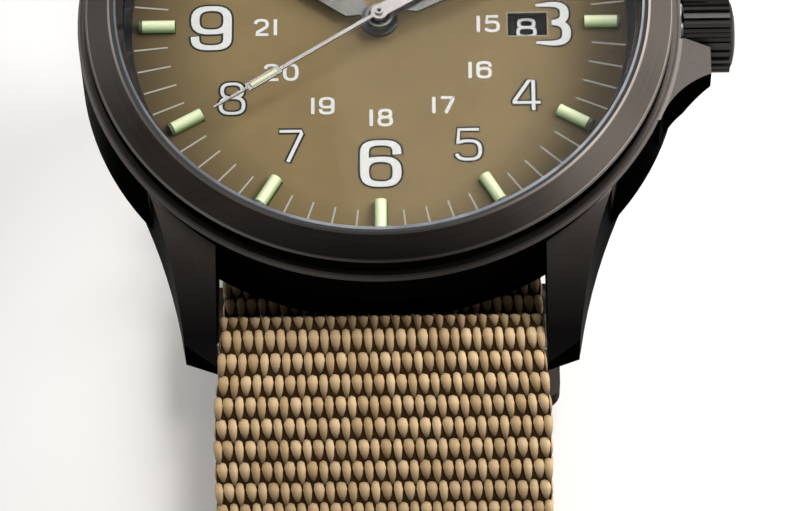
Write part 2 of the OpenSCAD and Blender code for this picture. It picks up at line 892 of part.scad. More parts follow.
module minute_hand() {
    color(steel)
        rotate([0, 0, -minute_angle])
            translate([0, 0, minute_hand_z])
                linear_extrude(height=hand_t)
                    difference() {
                        sword(minute_l, minute_w, minute_hub_r, minute_tube_l, minute_base_y);
                        circle(r=centre_tube_r);
                    }
}

module minute_tube() {
    color([0.78, 0.88, 0.6])
        rotate([0, 0, -minute_angle])
            translate([0, minute_l - tip_l - minute_tube_l, minute_hand_z + hand_t / 2])
                rotate([-90, 0, 0])
                    cylinder(r=hand_tube_r, h=minute_tube_l, $fn=small_fn);
}

module second_outline() {
    tube_end = second_tube_start + second_tube_l;
    difference() {
        union() {
            circle(r=second_hub_r);
            polygon([[-second_w / 2, 0], [second_w / 2, 0],
                     [second_w / 2, second_tube_start],
                     [second_w / 4, second_l], [-second_w / 4, second_l],
                     [-second_w / 2, second_tube_start]]);
            translate([-second_tube_w / 2, second_tube_start - second_tube_w / 2])
                square([second_tube_w, second_tube_l + second_tube_w]);
            polygon([[-tail_start_w / 2, 0], [tail_start_w / 2, 0],
                     [tail_end_w / 2, -second_tail_l], [-tail_end_w / 2, -second_tail_l]]);
        }
        translate([-second_tube_r, second_tube_start])
            square([2 * second_tube_r, tube_end - second_tube_start]);
    }
}

module second_hand() {
    color([0.75, 0.75, 0.75])
        rotate([0, 0, -second_angle]) {
            translate([0, 0, second_hand_z])
                linear_extrude(height=second_hand_t)
                    difference() {
                        second_outline();
                        circle(r=second_arbor_r, $fn=small_fn);
                    }
            ring(second_hub_r / 2, second_arbor_r, second_hand_z + second_hand_t, cap_h);
        }
}

module second_tube() {
    color([0.8, 0.9, 0.7])
        rotate([0, 0, -second_angle])
            translate([0, second_tube_start, second_hand_z + second_hand_t / 2])
                rotate([-90, 0, 0])
                    cylinder(r=second_tube_r, h=second_tube_l, $fn=small_fn);
}

// Movement holder between the dial and the case back's rim
module movement_ring() {
    color([0.85, 0.85, 0.82])
        difference() {
            ring(ring_r, movement_r, ring_z, dial_under - ring_z);
            translate([0, 0, stem_z])
                rod_x(stem_r + crown_clear, movement_r - over, ring_r + over, $fn=small_fn);
        }
}

module pivot_hole(pos, z, h) {
    translate([pos[0], pos[1], z - over])
        cylinder(r=pivot_hole_r, h=h + 2 * over, $fn=small_fn);
}

module main_plate() {
    color(brass)
        difference() {
            union() {
                disc(plate_r, plate_z, plate_t);
                ring(plate_r, disc_seat_r, plate_z, disc_z - plate_z);
                ring(plate_r, disc_out_r + disc_side_gap, plate_z, dial_under - plate_z);
            }
            disc(plate_hole_r, plate_z - over, plate_t + 2 * over);
            for (pos = [third_pos, inter_pos, rotor_pos])
                pivot_hole(pos, plate_z, plate_t);
            block([key_pocket_x, -key_pocket_w / 2, plate_z - over],
                  [disc_seat_r + over, key_pocket_w / 2, plate_top + over]);
            translate([0, 0, stem_z])
                rod_x(stem_r + stem_gap, disc_seat_r - over, movement_r + over, $fn=small_fn);
        }
}

module train_bridge() {
    color(brass)
        difference() {
            union() {
                translate([0, bridge_y, 0])
                    disc(bridge_r, bridge_z, bridge_t);
                for (pos = pillar_pos)
                    translate([pos[0], pos[1], 0]) {
                        disc(bridge_ear_r, bridge_z, bridge_t);
                        disc(pillar_r, bridge_z, plate_z - bridge_z);
                    }
            }
            for (pos = [[0, 0], third_pos, inter_pos, rotor_pos])
                pivot_hole(pos, bridge_z, bridge_t);
        }
}

module bridge_screws() {
    color(steel)
        for (pos = pillar_pos)
            translate([pos[0], pos[1], 0])
                difference() {
                    disc(screw_r, bridge_z - screw_h, screw_h);
                    block([-screw_r - over, -screw_slot_w / 2, bridge_z - screw_h - over],
                          [screw_r + over, screw_slot_w / 2, bridge_z - screw_h + screw_slot_h]);
                }
}

module stator() {
    color(steel)
        difference() {
            union() {
                translate([rotor_pos[0], rotor_pos[1], 0])
                    disc(stator_ring_r, stator_z, stator_t);
                block([coil_left, stator_arm_y, stator_z],
                      [rotor_pos[0], stator_arm_y + stator_arm_w, stator_z + stator_t]);
                block([coil_left, coil_y - coil_core_w / 2, stator_z],
                      [coil_left + coil_leg_w, stator_arm_y + stator_arm_w, stator_z + stator_t]);
                block([coil_right - coil_leg_w, coil_y - coil_core_w / 2, stator_z],
                      [coil_right, rotor_pos[1], stator_z + stator_t]);
            }
            translate([rotor_pos[0], rotor_pos[1], 0])
                disc(stator_hole_r, stator_z - over, stator_t + 2 * over);
        }
}

module coil() {
    core_z = stator_z - coil_core_t;
    color([0.72, 0.4, 0.2]) {
        block([coil_left, coil_y - coil_core_w / 2, core_z],
              [coil_right, coil_y + coil_core_w / 2, stator_z]);
        translate([0, coil_y, core_z + coil_core_t / 2])
            rod_x(coil_r, coil_start, coil_end, $fn=small_fn);
    }
}

module circuit_board() {
    color([0.1, 0.3, 0.2]) {
        block([board_x, board_y, plate_z - board_t],
              [board_x + board_w, board_y + board_l, plate_z]);
        block([board_x + chip_w / 2, board_y + chip_w / 2, plate_z - board_t - chip_t],
              [board_x + chip_w / 2 + chip_w, board_y + chip_w / 2 + chip_w, plate_z - board_t]);
    }
}

module quartz_can() {
    color(steel)
        translate([can_x, can_y, plate_z - can_r])
            rod_x(can_r, 0, can_l, $fn=small_fn);
}

module button_cell() {
    cell_r = cell_d / 2;
    color([0.75, 0.75, 0.72])
        translate([cell_pos[0], cell_pos[1], 0]) {
            disc(cell_r - cell_rim, cell_z, cell_step);
            disc(cell_r, cell_z + cell_step, cell_h - cell_step);
        }
}

module cell_clamp() {
    reach = cell_d / 2 + clamp_w / 2;
    color(steel)
        translate([cell_pos[0], cell_pos[1], 0])
            rotate([0, 0, cell_dir + 90]) {
                block([-reach, -clamp_w / 2, cell_z - clamp_t],
                      [reach, clamp_w / 2, cell_z]);
                for (s = [-1, 1])
                    translate([s * (cell_d / 2 + clamp_w / 4), 0, 0])
                        disc(pillar_r, cell_z - clamp_t, plate_z - cell_z + clamp_t);
            }
}

// Shaft of a wheel, from the bridge up into the main plate
module arbor() {
    disc(pivot_r, bridge_z, plate_top - bridge_z, $fn=small_fn);
    disc(arbor_r, bridge_top + level_gap, train_space - 2 * level_gap, $fn=small_fn);
}

module rotor() {
    color([0.35, 0.35, 0.38])
        translate([rotor_pos[0], rotor_pos[1], 0]) {
            disc(magnet_r, magnet_z, magnet_t);
            wheel(rotor_teeth, rotor_pair_m, inter_wheel_z - level_gap, pinion_t);
            arbor();
        }
}

module intermediate_wheel() {
    color(brass)
        translate([inter_pos[0], inter_pos[1], 0]) {
            wheel(inter_teeth, rotor_pair_m, inter_wheel_z, wheel_t);
            wheel(inter_pinion_teeth, inter_pair_m, second_wheel_z - level_gap, pinion_t);
            arbor();
        }
}

module second_wheel() {
    color(brass)
        rotate([0, 0, -second_angle]) {
            wheel(second_teeth, inter_pair_m, second_wheel_z, wheel_t);
            wheel(second_pinion_teeth, second_pair_m, second_wheel_z + wheel_t, pinion_t);
            disc(second_arbor_r, second_wheel_z, second_hand_z + second_hand_t + cap_h - second_wheel_z,
                 $fn=small_fn);
            disc(pivot_r, bridge_z, second_wheel_z - bridge_z, $fn=small_fn);
        }
}

module third_wheel() {
    color(brass)
        translate([third_pos[0], third_pos[1], 0]) {
            wheel(third_teeth, second_pair_m, third_wheel_z, wheel_t);
            wheel(third_pinion_teeth, centre_pair_m, third_pinion_z, pinion_t);
            arbor();
        }
}

module centre_wheel() {
    color(brass)
        rotate([0, 0, -minute_angle])
            difference() {
                union() {
                    wheel(centre_teeth, centre_pair_m, centre_wheel_z, wheel_t);
                    disc(centre_tube_r, centre_wheel_z, minute_hand_z + hand_t - centre_wheel_z,
                         $fn=small_fn);
                    wheel(cannon_teeth, cannon_pair_m, minute_wheel_z - cannon_drop, cannon_t);
                }
                disc(centre_bore_r, centre_wheel_z - over,
                     minute_hand_z - centre_wheel_z + 2 * over, $fn=small_fn);
            }
}

module minute_wheel() {
    color(brass)
        translate([minute_pos[0], minute_pos[1], 0]) {
            wheel(minute_teeth, cannon_pair_m, minute_wheel_z, wheel_t);
            wheel(minute_pinion_teeth, hour_pair_m, minute_wheel_z + wheel_t, minute_pinion_t);
            disc(pivot_r, plate_top, minute_wheel_z - plate_top, $fn=small_fn);
        }
}

module hour_wheel() {
    color(brass)
        rotate([0, 0, -hour_angle])
            difference() {
                union() {
                    wheel(hour_teeth, hour_pair_m, hour_wheel_z, hour_wheel_t);
                    disc(hour_pipe_r, hour_wheel_z, hour_hand_z + hand_t - hour_wheel_z);
                }
                disc(hour_bore_r, hour_wheel_z - over,
                     hour_hand_z - hour_wheel_z + 2 * over, $fn=small_fn);
            }
}

module date_wheel() {
    finger_z = hour_wheel_z + date_wheel_t;
    color(brass)
        translate([date_pos[0], date_pos[1], 0]) {
            wheel(date_wheel_teeth, date_pair_m, hour_wheel_z, date_wheel_t);
            disc(date_hub_r, plate_top, finger_z + finger_t - plate_top);
            rotate([0, 0, finger_dir])
                block([0, -finger_w / 2, hour_wheel_z],
                      [finger_reach, finger_w / 2, finger_z + finger_t]);
        }
}

module date_disc() {
    step = 360 / date_teeth;
    color([0.06, 0.06, 0.06])
        translate([0, 0, disc_z])
            linear_extrude(height=disc_t)
                difference() {
                    circle(r=disc_out_r);
                    polygon([for (i = [0:date_teeth - 1])
                        for (p = [[disc_in_r, -disc_tooth_share],
                                  [disc_in_r - disc_tooth_h, -disc_tooth_share / 3],
                                  [disc_in_r - disc_tooth_h, disc_tooth_share / 3],
                                  [disc_in_r, disc_tooth_share]])
                            [p[0] * cos((i + p[1]) * step), p[0] * sin((i + p[1]) * step)]]);
                }
}

module date_jumper() {
    color(steel)
        translate([jumper_pos[0], jumper_pos[1], 0]) {
            disc(jumper_post_r, plate_top, disc_z - plate_top, $fn=small_fn);
            rotate([0, 0, jumper_dir])
                block([0, -jumper_w / 2, disc_z - jumper_t],
                      [jumper_l - jumper_post_r, jumper_w / 2, disc_z]);
        }
}

module stem() {
    color(steel)
        translate([0, 0, stem_z]) {
            rod_x(stem_r, stem_start, groove_x - groove_w / 2, $fn=small_fn);
            rod_x(groove_r, groove_x - groove_w / 2, groove_x + groove_w / 2, $fn=small_fn);
            rod_x(stem_r, groove_x + groove_w / 2, stem_end, $fn=small_fn);
        }
}

module sliding_pinion() {
    pinion_m = 2 * sliding_pinion_r / (sliding_teeth + 2 * tip_share);
    color(steel)
        difference() {
            translate([pinion_x, 0, stem_z])
                rotate([0, 90, 0])
                    linear_extrude(height=pinion_l)
                        tooth_outline(sliding_teeth, pinion_m);
            translate([0, 0, stem_z])
                rod_x(stem_r, pinion_x - over, pinion_x + pinion_l + over, $fn=small_fn);
        }
}

module setting_lever() {
    color(steel)
        translate([groove_x, 0, 0]) {
            translate([0, lever_arm, 0])
                disc(lever_w / 2, lever_z, lever_t, $fn=small_fn);
            disc(lever_w / 2, lever_z, lever_t, $fn=small_fn);
            block([-lever_w / 2, 0, lever_z], [lever_w / 2, lever_arm, lever_z + lever_t]);
            disc(lever_tip_r, stem_z + stem_r - lever_reach, lever_z - stem_z - stem_r + lever_reach,
                 $fn=small_fn);
        }
}

module crown() {
    step = 360 / flutes;
    body_end = crown_end - crown_dome;
    color(gunmetal)
        difference() {
            union() {
                translate([crown_x, 0, stem_z])
                    rotate([0, 90, 0])
                        linear_extrude(height=body_end - crown_x)
                            polygon([for (i = [0:flutes - 1])
                                for (p = [[crown_r, 0], [crown_r, ridge_share],
                                          [crown_r - flute_depth, valley_start_share],
                                          [crown_r - flute_depth, valley_end_share]])
                                    [p[0] * cos((i + p[1]) * step), p[0] * sin((i + p[1]) * step)]]);
                translate([body_end, 0, stem_z])
                    rotate([0, 90, 0])
                        rotate_extrude()
                            polygon([[0, 0], [crown_r - flute_depth, 0],
                                     [crown_r - flute_depth - crown_edge, crown_dome / 2],
                                     [crown_r / 2, crown_dome], [0, crown_dome]]);
            }
            translate([0, 0, stem_z]) {
                rod_x(crown_r - crown_wall, crown_x - over, crown_x + crown_cavity_l);
                rod_x(stem_r, crown_x, stem_end, $fn=small_fn);
            }
        }
}

module crown_gasket() {
    color(rubber_black)
        translate([gasket_x, 0, stem_z])
            rotate([0, 90, 0])
                ring(crown_r - crown_wall - gasket_gap, crown_tube_r + gasket_gap, 0, gasket_l);
}

module crown_tube() {
    color(steel)
        translate([0, 0, stem_z])
            difference() {
                rod_x(crown_tube_r, bore_r, crown_tube_x);
                rod_x(crown_tube_bore, bore_r - over, crown_tube_x + over, $fn=small_fn);
            }
}

module case_back() {
    color(gunmetal)
        difference() {
            rotate_extrude()
                polygon([[0, back_z], [back_r - back_chamfer, back_z],
                         [back_r, back_z + back_chamfer], [back_r, case_z],
                         [back_rim_r, case_z], [back_rim_r, ring_z],
                         [back_rim_r - back_rim_t, ring_z],
                         [back_rim_r - back_rim_t, back_z + back_floor_t],
                         [0, back_z + back_floor_t]]);
            for (i = [0:notch_count - 1])
                rotate([0, 0, (2 * i + 1) * 180 / notch_count])
                    translate([back_r + notch_r / 2, 0, back_z - over])
                        cylinder(r=notch_r, h=back_t + over - back_floor_t / 3, $fn=small_fn);
        }
}

module back_gasket() {
    color(rubber_black)
        ring(bore_r - back_gasket_gap, back_rim_r + back_gasket_gap, case_z, back_gasket_h);
}

module bar_tube() {
    color(steel)
        translate([0, 0, bar_z])
            difference() {
                rod_x(bar_r, -bar_half, bar_half, $fn=small_fn);
                rod_x(bar_bore_r, bar_end_t - bar_half, bar_half - bar_end_t, $fn=small_fn);
                rod_x(pin_r + pin_gap, -bar_half - over, bar_half + over, $fn=small_fn);
            }
}

module bar_tube_six() {
    translate([0, -bar_y, 0])
        bar_tube();
}

module bar_tube_twelve() {
    translate([0, bar_y, 0])
        bar_tube();
}

// Right-hand end pin of a spring bar, sprung outwards
module bar_pin() {
    head_x = bar_half - bar_end_t - pin_head_l;
    color(steel)
        translate([0, 0, bar_z]) {
            rod_x(pin_head_r, head_x, head_x + pin_head_l, $fn=small_fn);
            rod_x(pin_r, head_x, pin_tip_x, $fn=small_fn);
        }
}

module bar_pin_six_right() {
    translate([0, -bar_y, 0])
        bar_pin();
}

module bar_pin_six_left() {
    mirror([1, 0, 0])
        bar_pin_six_right();
}

module bar_pin_twelve_right() {
    translate([0, bar_y, 0])
        bar_pin();
}

module bar_pin_twelve_left() {
    mirror([1, 0, 0])
        bar_pin_twelve_right();
}

module bar_springs() {
    half = bar_half - bar_end_t - pin_head_l;
    color(steel)
        for (s = [-1, 1])
            translate([0, s * bar_y, bar_z])
                difference() {
                    rod_x(spring_r, -half, half, $fn=small_fn);
                    rod_x(spring_in_r, -half - over, half + over, $fn=small_fn);
                }
}

module strap_band() {
    half = strap_t / 2;
    translate([-strap_w / 2, 0, 0])
        rotate([90, 0, 90])
            linear_extrude(height=strap_w)
                union() {
                    polygon(concat(strap_side(half), reverse(strap_side(-half))));
                    polygon(concat(fold_side(half), reverse(fold_side(-half))));
                }
}

// A hole through one layer on the lower curve round the axis at y
module strap_hole(y, angle, r) {
    translate([0, y, lower_z])
        rotate([angle, 0, 0])
            translate([0, 0, -r - strap_t])
                cylinder(r=hole_r, h=2 * strap_t, $fn=small_fn);
}

// Rounds the free end of the strap
module tail_corners() {
    half = strap_w / 2;
    outside = 2 * strap_t;
    reach = asin(half / tail_r);
    translate([0, -lower_y, lower_z])
        rotate([tail_angle - reach, 0, 0])
            difference() {
                rod_x(tail_r + outside, -half - over, half + over);
                rod_x(tail_r - strap_t / 2 - layer_gap, -half - 2 * over, half + 2 * over);
                block([-strap_w, -2 * tail_r, -2 * tail_r], [strap_w, 0, 2 * tail_r]);
                block([-strap_w, -over, -half], [strap_w, 2 * tail_r, 2 * tail_r]);
                translate([0, 0, -tail_r - 2 * outside])
                    cylinder(r=half, h=tail_r + outside);
            }
}

module strap() {
    slot_half = tongue_w / 2 + tongue_side_gap;
    color(fabric)
        difference() {
            strap_band();
            translate([0, buckle_y, buckle_z])
                rod_x(fold_slot_r, -slot_half, slot_half);
            block([-slot_half, buckle_y - slot_far, buckle_z - 2 * buckle_wrap_r - strap_t],
                  [slot_half, buckle_y - slot_near, main_z - cross_turn_r / 2 + over]);
            for (a = hole_angles)
                strap_hole(-lower_y, a, tail_r);
            for (a = front_hole_angles)
                strap_hole(lower_y, -a, lower_r);
            tail_corners();
        }
}

module buckle_bar() {
    color(steel)
        translate([0, buckle_y, buckle_z])
            rod_x(buckle_bar_r, -frame_out_x + rail_w / 4, frame_out_x - rail_w / 4, $fn=small_fn);
}

module frame_outline() {
    difference() {
        union() {
            translate([-frame_out_x, frame_corner - frame_l])
                square([2 * frame_out_x, frame_l - frame_corner]);
            translate([frame_corner - frame_out_x, -frame_l])
                square([2 * (frame_out_x - frame_corner), frame_l]);
            for (s = [-1, 1])
                translate([s * (frame_out_x - frame_corner), frame_corner - frame_l])
                    circle(r=frame_corner);
        }
        translate([-frame_in_x, rail_w - frame_l])
            square([2 * frame_in_x, frame_l]);
    }
}

module buckle_frame() {
    color(gunmetal)
        translate([0, buckle_y, buckle_z])
            difference() {
                union() {
                    translate([0, 0, -frame_t / 2])
                        linear_extrude(height=frame_t)
                            frame_outline();
                    rod_x(boss_r, -frame_out_x, -frame_in_x);
                    rod_x(boss_r, frame_in_x, frame_out_x);
                }
                rod_x(buckle_bar_r + run_gap, -frame_out_x - over, frame_out_x + over, $fn=small_fn);
            }
}

module buckle_tongue() {
    arm_top = -frame_t / 2;
    color(gunmetal)
        translate([0, buckle_y, buckle_z])
            difference() {
                union() {
                    rod_x(tongue_r, -tongue_w / 2, tongue_w / 2, $fn=small_fn);
                    block([-tongue_w / 2, -frame_l - tongue_over, arm_top - tongue_t],
                          [tongue_w / 2, 0, arm_top]);
                }
                rod_x(buckle_bar_r + run_gap, -tongue_w, tongue_w, $fn=small_fn);
            }
}

// A flat loop round the strap, open along Y
module keeper(low, high) {
    difference() {
        block([-keeper_out_x, 0, low], [keeper_out_x, keeper_w, high]);
        block([-keeper_in_x, -over, low + keeper_t], [keeper_in_x, keeper_w + over, high - keeper_t]);
    }
}

module keeper_fixed() {
    color(gunmetal)
        translate([0, keeper_y, 0])
            keeper(keeper_low, keeper_top + keeper_t);
}

module keeper_loose() {
    color(gunmetal)
        translate([0, -lower_y, lower_z])
            rotate([keeper_angle, 0, 0])
                translate([0, -keeper_w / 2, 0])
                    keeper(-loose_out_r - keeper_t, -loose_in_r + keeper_t);
}

mid_case();
bezel_ring();
crystal();
crystal_gasket();
rehaut_ring();
dial_plate();
dial_tubes();
tube_sockets();
hour_hand();
hour_tube();
minute_hand();
minute_tube();
second_hand();
second_tube();
movement_ring();
main_plate();
train_bridge();
bridge_screws();
stator();
coil();
circuit_board();
quartz_can();
button_cell();
cell_clamp();
rotor();
intermediate_wheel();
second_wheel();
third_wheel();
centre_wheel();
minute_wheel();
hour_wheel();
date_wheel();
date_disc();
date_jumper();
stem();
sliding_pinion();
setting_lever();
crown();
crown_gasket();
crown_tube();
case_back();
back_gasket();
bar_tube_six();
bar_tube_twelve();
bar_pin_six_left();
bar_pin_six_right();
bar_pin_twelve_left();
bar_pin_twelve_right();
bar_springs();
strap();
buckle_bar();
buckle_frame();
buckle_tongue();
keeper_fixed();
keeper_loose();
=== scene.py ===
import math
import bmesh
import bpy
import numpy as np
from mathutils import Matrix, Vector


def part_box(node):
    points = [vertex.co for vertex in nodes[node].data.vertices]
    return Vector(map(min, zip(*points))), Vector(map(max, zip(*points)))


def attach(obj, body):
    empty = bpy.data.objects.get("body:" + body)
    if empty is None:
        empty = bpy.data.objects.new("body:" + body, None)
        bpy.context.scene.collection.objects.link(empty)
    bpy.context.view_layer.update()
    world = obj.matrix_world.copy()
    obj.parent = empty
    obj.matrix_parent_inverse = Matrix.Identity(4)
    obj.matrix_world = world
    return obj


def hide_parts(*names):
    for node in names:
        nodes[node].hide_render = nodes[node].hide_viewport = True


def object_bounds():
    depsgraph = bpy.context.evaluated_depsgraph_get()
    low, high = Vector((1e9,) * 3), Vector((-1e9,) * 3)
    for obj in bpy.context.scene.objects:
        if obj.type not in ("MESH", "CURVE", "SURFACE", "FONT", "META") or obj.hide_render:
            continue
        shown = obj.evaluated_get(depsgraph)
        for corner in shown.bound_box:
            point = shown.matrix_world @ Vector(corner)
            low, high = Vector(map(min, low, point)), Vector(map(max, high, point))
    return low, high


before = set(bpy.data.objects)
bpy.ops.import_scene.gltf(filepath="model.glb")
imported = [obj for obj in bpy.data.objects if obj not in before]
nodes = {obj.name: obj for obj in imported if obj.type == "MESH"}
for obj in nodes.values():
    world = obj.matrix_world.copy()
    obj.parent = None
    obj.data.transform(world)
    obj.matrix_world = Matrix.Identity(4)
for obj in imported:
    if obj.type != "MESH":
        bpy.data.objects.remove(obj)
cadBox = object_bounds()
scene = bpy.context.scene
scene.view_settings.view_transform = "Standard"

# all pieces are drawn in millimetres and shrunk once, when they become a mesh
mm = 0.001


# a value on a socket: sums of such values become Math nodes
class Num:
    def __init__(self, owner, socket):
        self.owner = owner
        self.socket = socket

    def calc(self, operation, *others):
        return self.owner.node("ShaderNodeMath", {"operation": operation}, (self,) + others)

    def before(self, operation, first):
        return self.owner.node("ShaderNodeMath", {"operation": operation}, (first, self))

    def __add__(self, other):
        return self.calc("ADD", other)

    def __radd__(self, other):
        return self.calc("ADD", other)

    def __sub__(self, other):
        return self.calc("SUBTRACT", other)

    def __rsub__(self, other):
        return self.before("SUBTRACT", other)

    def __mul__(self, other):
        return self.calc("MULTIPLY", other)

    def __rmul__(self, other):
        return self.calc("MULTIPLY", other)

    def __truediv__(self, other):
        return self.calc("DIVIDE", other)

    def __rtruediv__(self, other):
        return self.before("DIVIDE", other)

    def __pow__(self, other):
        return self.calc("POWER", other)

    def between(self, low, high):
        return self.calc("MAXIMUM", low).calc("MINIMUM", high)

    def step(self, low, high):
        return ((self - low) / (high - low)).between(0, 1)


# a node tree, for a material or for the world
class Nodes:
    def __init__(self, tree):
        self.tree = tree

    def feed(self, socket, value):
        if isinstance(value, Num):
            self.tree.links.new(value.socket, socket)
        elif isinstance(value, tuple) and len(value) == 3 and socket.type == "RGBA":
            socket.default_value = value + (1,)
        else:
            socket.default_value = value

    def node(self, kind, settings, inputs, output=0):
        made = self.tree.nodes.new(kind)
        for key, value in settings.items():
            setattr(made, key, value)
        pairs = inputs.items() if isinstance(inputs, dict) else enumerate(inputs)
        for key, value in pairs:
            self.feed(made.inputs[key], value)
        return Num(self, made.outputs[output])

    # 1 on rays from the camera, from a shiny surface and through a clear one, each on its own value
    def rays(self):
        kinds = ("Is Camera Ray", "Is Glossy Ray", "Is Transmission Ray")
        return [self.node("ShaderNodeLightPath", {}, {}, kind) for kind in kinds]


class Paint(Nodes):
    def __init__(self, name, values):
        self.material = bpy.data.materials.new(name)
        self.material.use_nodes = True
        super().__init__(self.material.node_tree)
        self.shader = self.tree.nodes["Principled BSDF"]
        self.set(values)

    def set(self, values):
        for key, value in values.items():
            self.feed(self.shader.inputs[key], value)

    # the place on the piece, in millimetres
    def spot(self):
        place = self.node("ShaderNodeTexCoord", {}, {}, "Object")
        return self.node("ShaderNodeVectorMath", {"operation": "MULTIPLY"}, (place, (1 / mm, 1 / mm, 1 / mm)))

    def scaled(self, vector, factor):
        return self.node("ShaderNodeVectorMath", {"operation": "SCALE"}, {"Vector": vector, "Scale": factor})

    def parts(self, vector):
        return [self.node("ShaderNodeSeparateXYZ", {}, (vector,), axis) for axis in "XYZ"]

    def joined(self, x, y, z):
        return self.node("ShaderNodeCombineXYZ", {}, (x, y, z))

    # how far the surface faces up
    def up(self):
        return self.parts(self.node("ShaderNodeNewGeometry", {}, {}, "Normal"))[2]

    def grain(self, vector, scale, detail=2.0, rough=0.5):
        return self.node("ShaderNodeTexNoise", {}, {
            "Vector": vector, "Scale": scale, "Detail": detail, "Roughness": rough})

    # the Mix node keeps its two colours on sockets 6 and 7 and their mix on 2
    def mix(self, share, first, second):
        return self.node("ShaderNodeMix", {"data_type": "RGBA"}, {0: share, 6: first, 7: second}, 2)

    def bump(self, height, strength, depth):
        return self.node("ShaderNodeBump", {}, {
            "Height": height, "Strength": strength, "Distance": depth * mm})


def shade(colour, factor):
    return tuple(min(1.0, c * factor) for c in colour)


# how the brush lines run: changes round a ring, changes along a line, and how softly the rings of painted
# highlight and of darker middle end
brushing = {"round": 2.2, "along": 0.25, "soft": 0.05}


# metals: run is the way of the brush lines, "x", "y", "z", "ring" round the z axis, or "cloud" for none
# rough and spread are its roughness and how far that varies, fine how many lines or specks lie in a
# millimetre, relief their height, and grazing how white it turns at its outline
# the ring list lays rings of its own colour: (inner radius, outer radius, low z, high z, brightness), and
# an inner radius below 0 takes in the middle; on the case and bezel they are painted highlights along the
# edges, on the hands and the arbor a darker middle
# painted light and shade change a case by its distance from the line through 3 and 9: a painted highlight
# gain times as bright up to pale, as it is at even, and painted shade in its own colour from black on and on
# faces that are steeper than wall
def metalPaint(name, colour, run="cloud", rough=0.36, spread=0.14, contrast=0.35, fine=11.0, relief=0.006,
               metallic=1.0, grazing=1.0, litEdgesAndDarkHubs=(), litEdgesAndDarkHubsColour=(0.2, 0.18, 0.165), paintedLightAndShade=None):
    paint = Paint(name, {"Metallic": metallic, "Specular Tint": (grazing, grazing, grazing)})
    spot = paint.spot()
    x, y, z = paint.parts(spot)
    away = (x * x + y * y) ** 0.5
    if run == "ring":
        turn = [side / (away + 0.01) * brushing["round"] for side in (x, y)]
        lines = paint.joined(*turn, away * fine + z * fine)
    else:
        rates = [brushing["along"] if axis == run else fine for axis in "xyz"]
        lines = paint.joined(x * rates[0], y * rates[1], z * rates[2])
    brush = paint.grain(lines, 1.0, 3.0, 0.6)
    cloud = paint.grain(spot, 0.35, 2.0, 0.5)
    tone = (brush * 0.6 + cloud * 0.4).step(0.25, 0.75)
    body = paint.mix(tone, shade(colour, 1 - contrast), shade(colour, 1 + contrast))
    soft = brushing["soft"]
    # painted highlights along the case and bezel edges, a darker middle on the hands and the arbor
    for inner, outer, low, high, bright in litEdgesAndDarkHubs:
        band = (away.step(inner - soft, inner) * (1 - away.step(outer, outer + soft))
                * z.step(low - soft, low) * (1 - z.step(high, high + soft)))
        body = paint.mix(band * (brush * 0.5 + 0.6) * bright, body, litEdgesAndDarkHubsColour)
    # painted highlight near the line through 3 and 9, painted shade towards 12 and 6 and on steep faces
    if paintedLightAndShade:
        tip = (y * y) ** 0.5
        body = paint.mix(tip.step(paintedLightAndShade["pale"], paintedLightAndShade["even"]), paint.scaled(body, paintedLightAndShade["gain"]), body)
        body = paint.mix(tip.step(paintedLightAndShade["even"], paintedLightAndShade["black"]), body, paintedLightAndShade["colour"])
        body = paint.mix(paint.up().step(*paintedLightAndShade["wall"]), paintedLightAndShade["colour"], body)
    paint.set({
        "Base Color": body,
        "Roughness": brush * spread + (rough - spread / 2) + cloud * 0.06,
        "Normal": paint.bump(brush, 0.5, relief)})
    return paint


# moulded, painted or printed surfaces: a soft cloud and a fine grain
def plainPaint(name, colour, rough=0.5, contrast=0.12, scale=1.2, fine=14.0, relief=0.004, specular=0.5):
    paint = Paint(name, {"Specular IOR Level": specular})
    spot = paint.spot()
    cloud = paint.grain(spot, scale, 3.0, 0.55)
    dust = paint.grain(spot, fine, 2.0, 0.6)
    tone = (cloud * 0.65 + dust * 0.35).step(0.3, 0.7)
    paint.set({
        "Base Color": paint.mix(tone, shade(colour, 1 - contrast), shade(colour, 1 + contrast)),
        "Roughness": dust * 0.12 + (rough - 0.06),
        "Normal": paint.bump(dust, 0.4, relief)})
    return paint


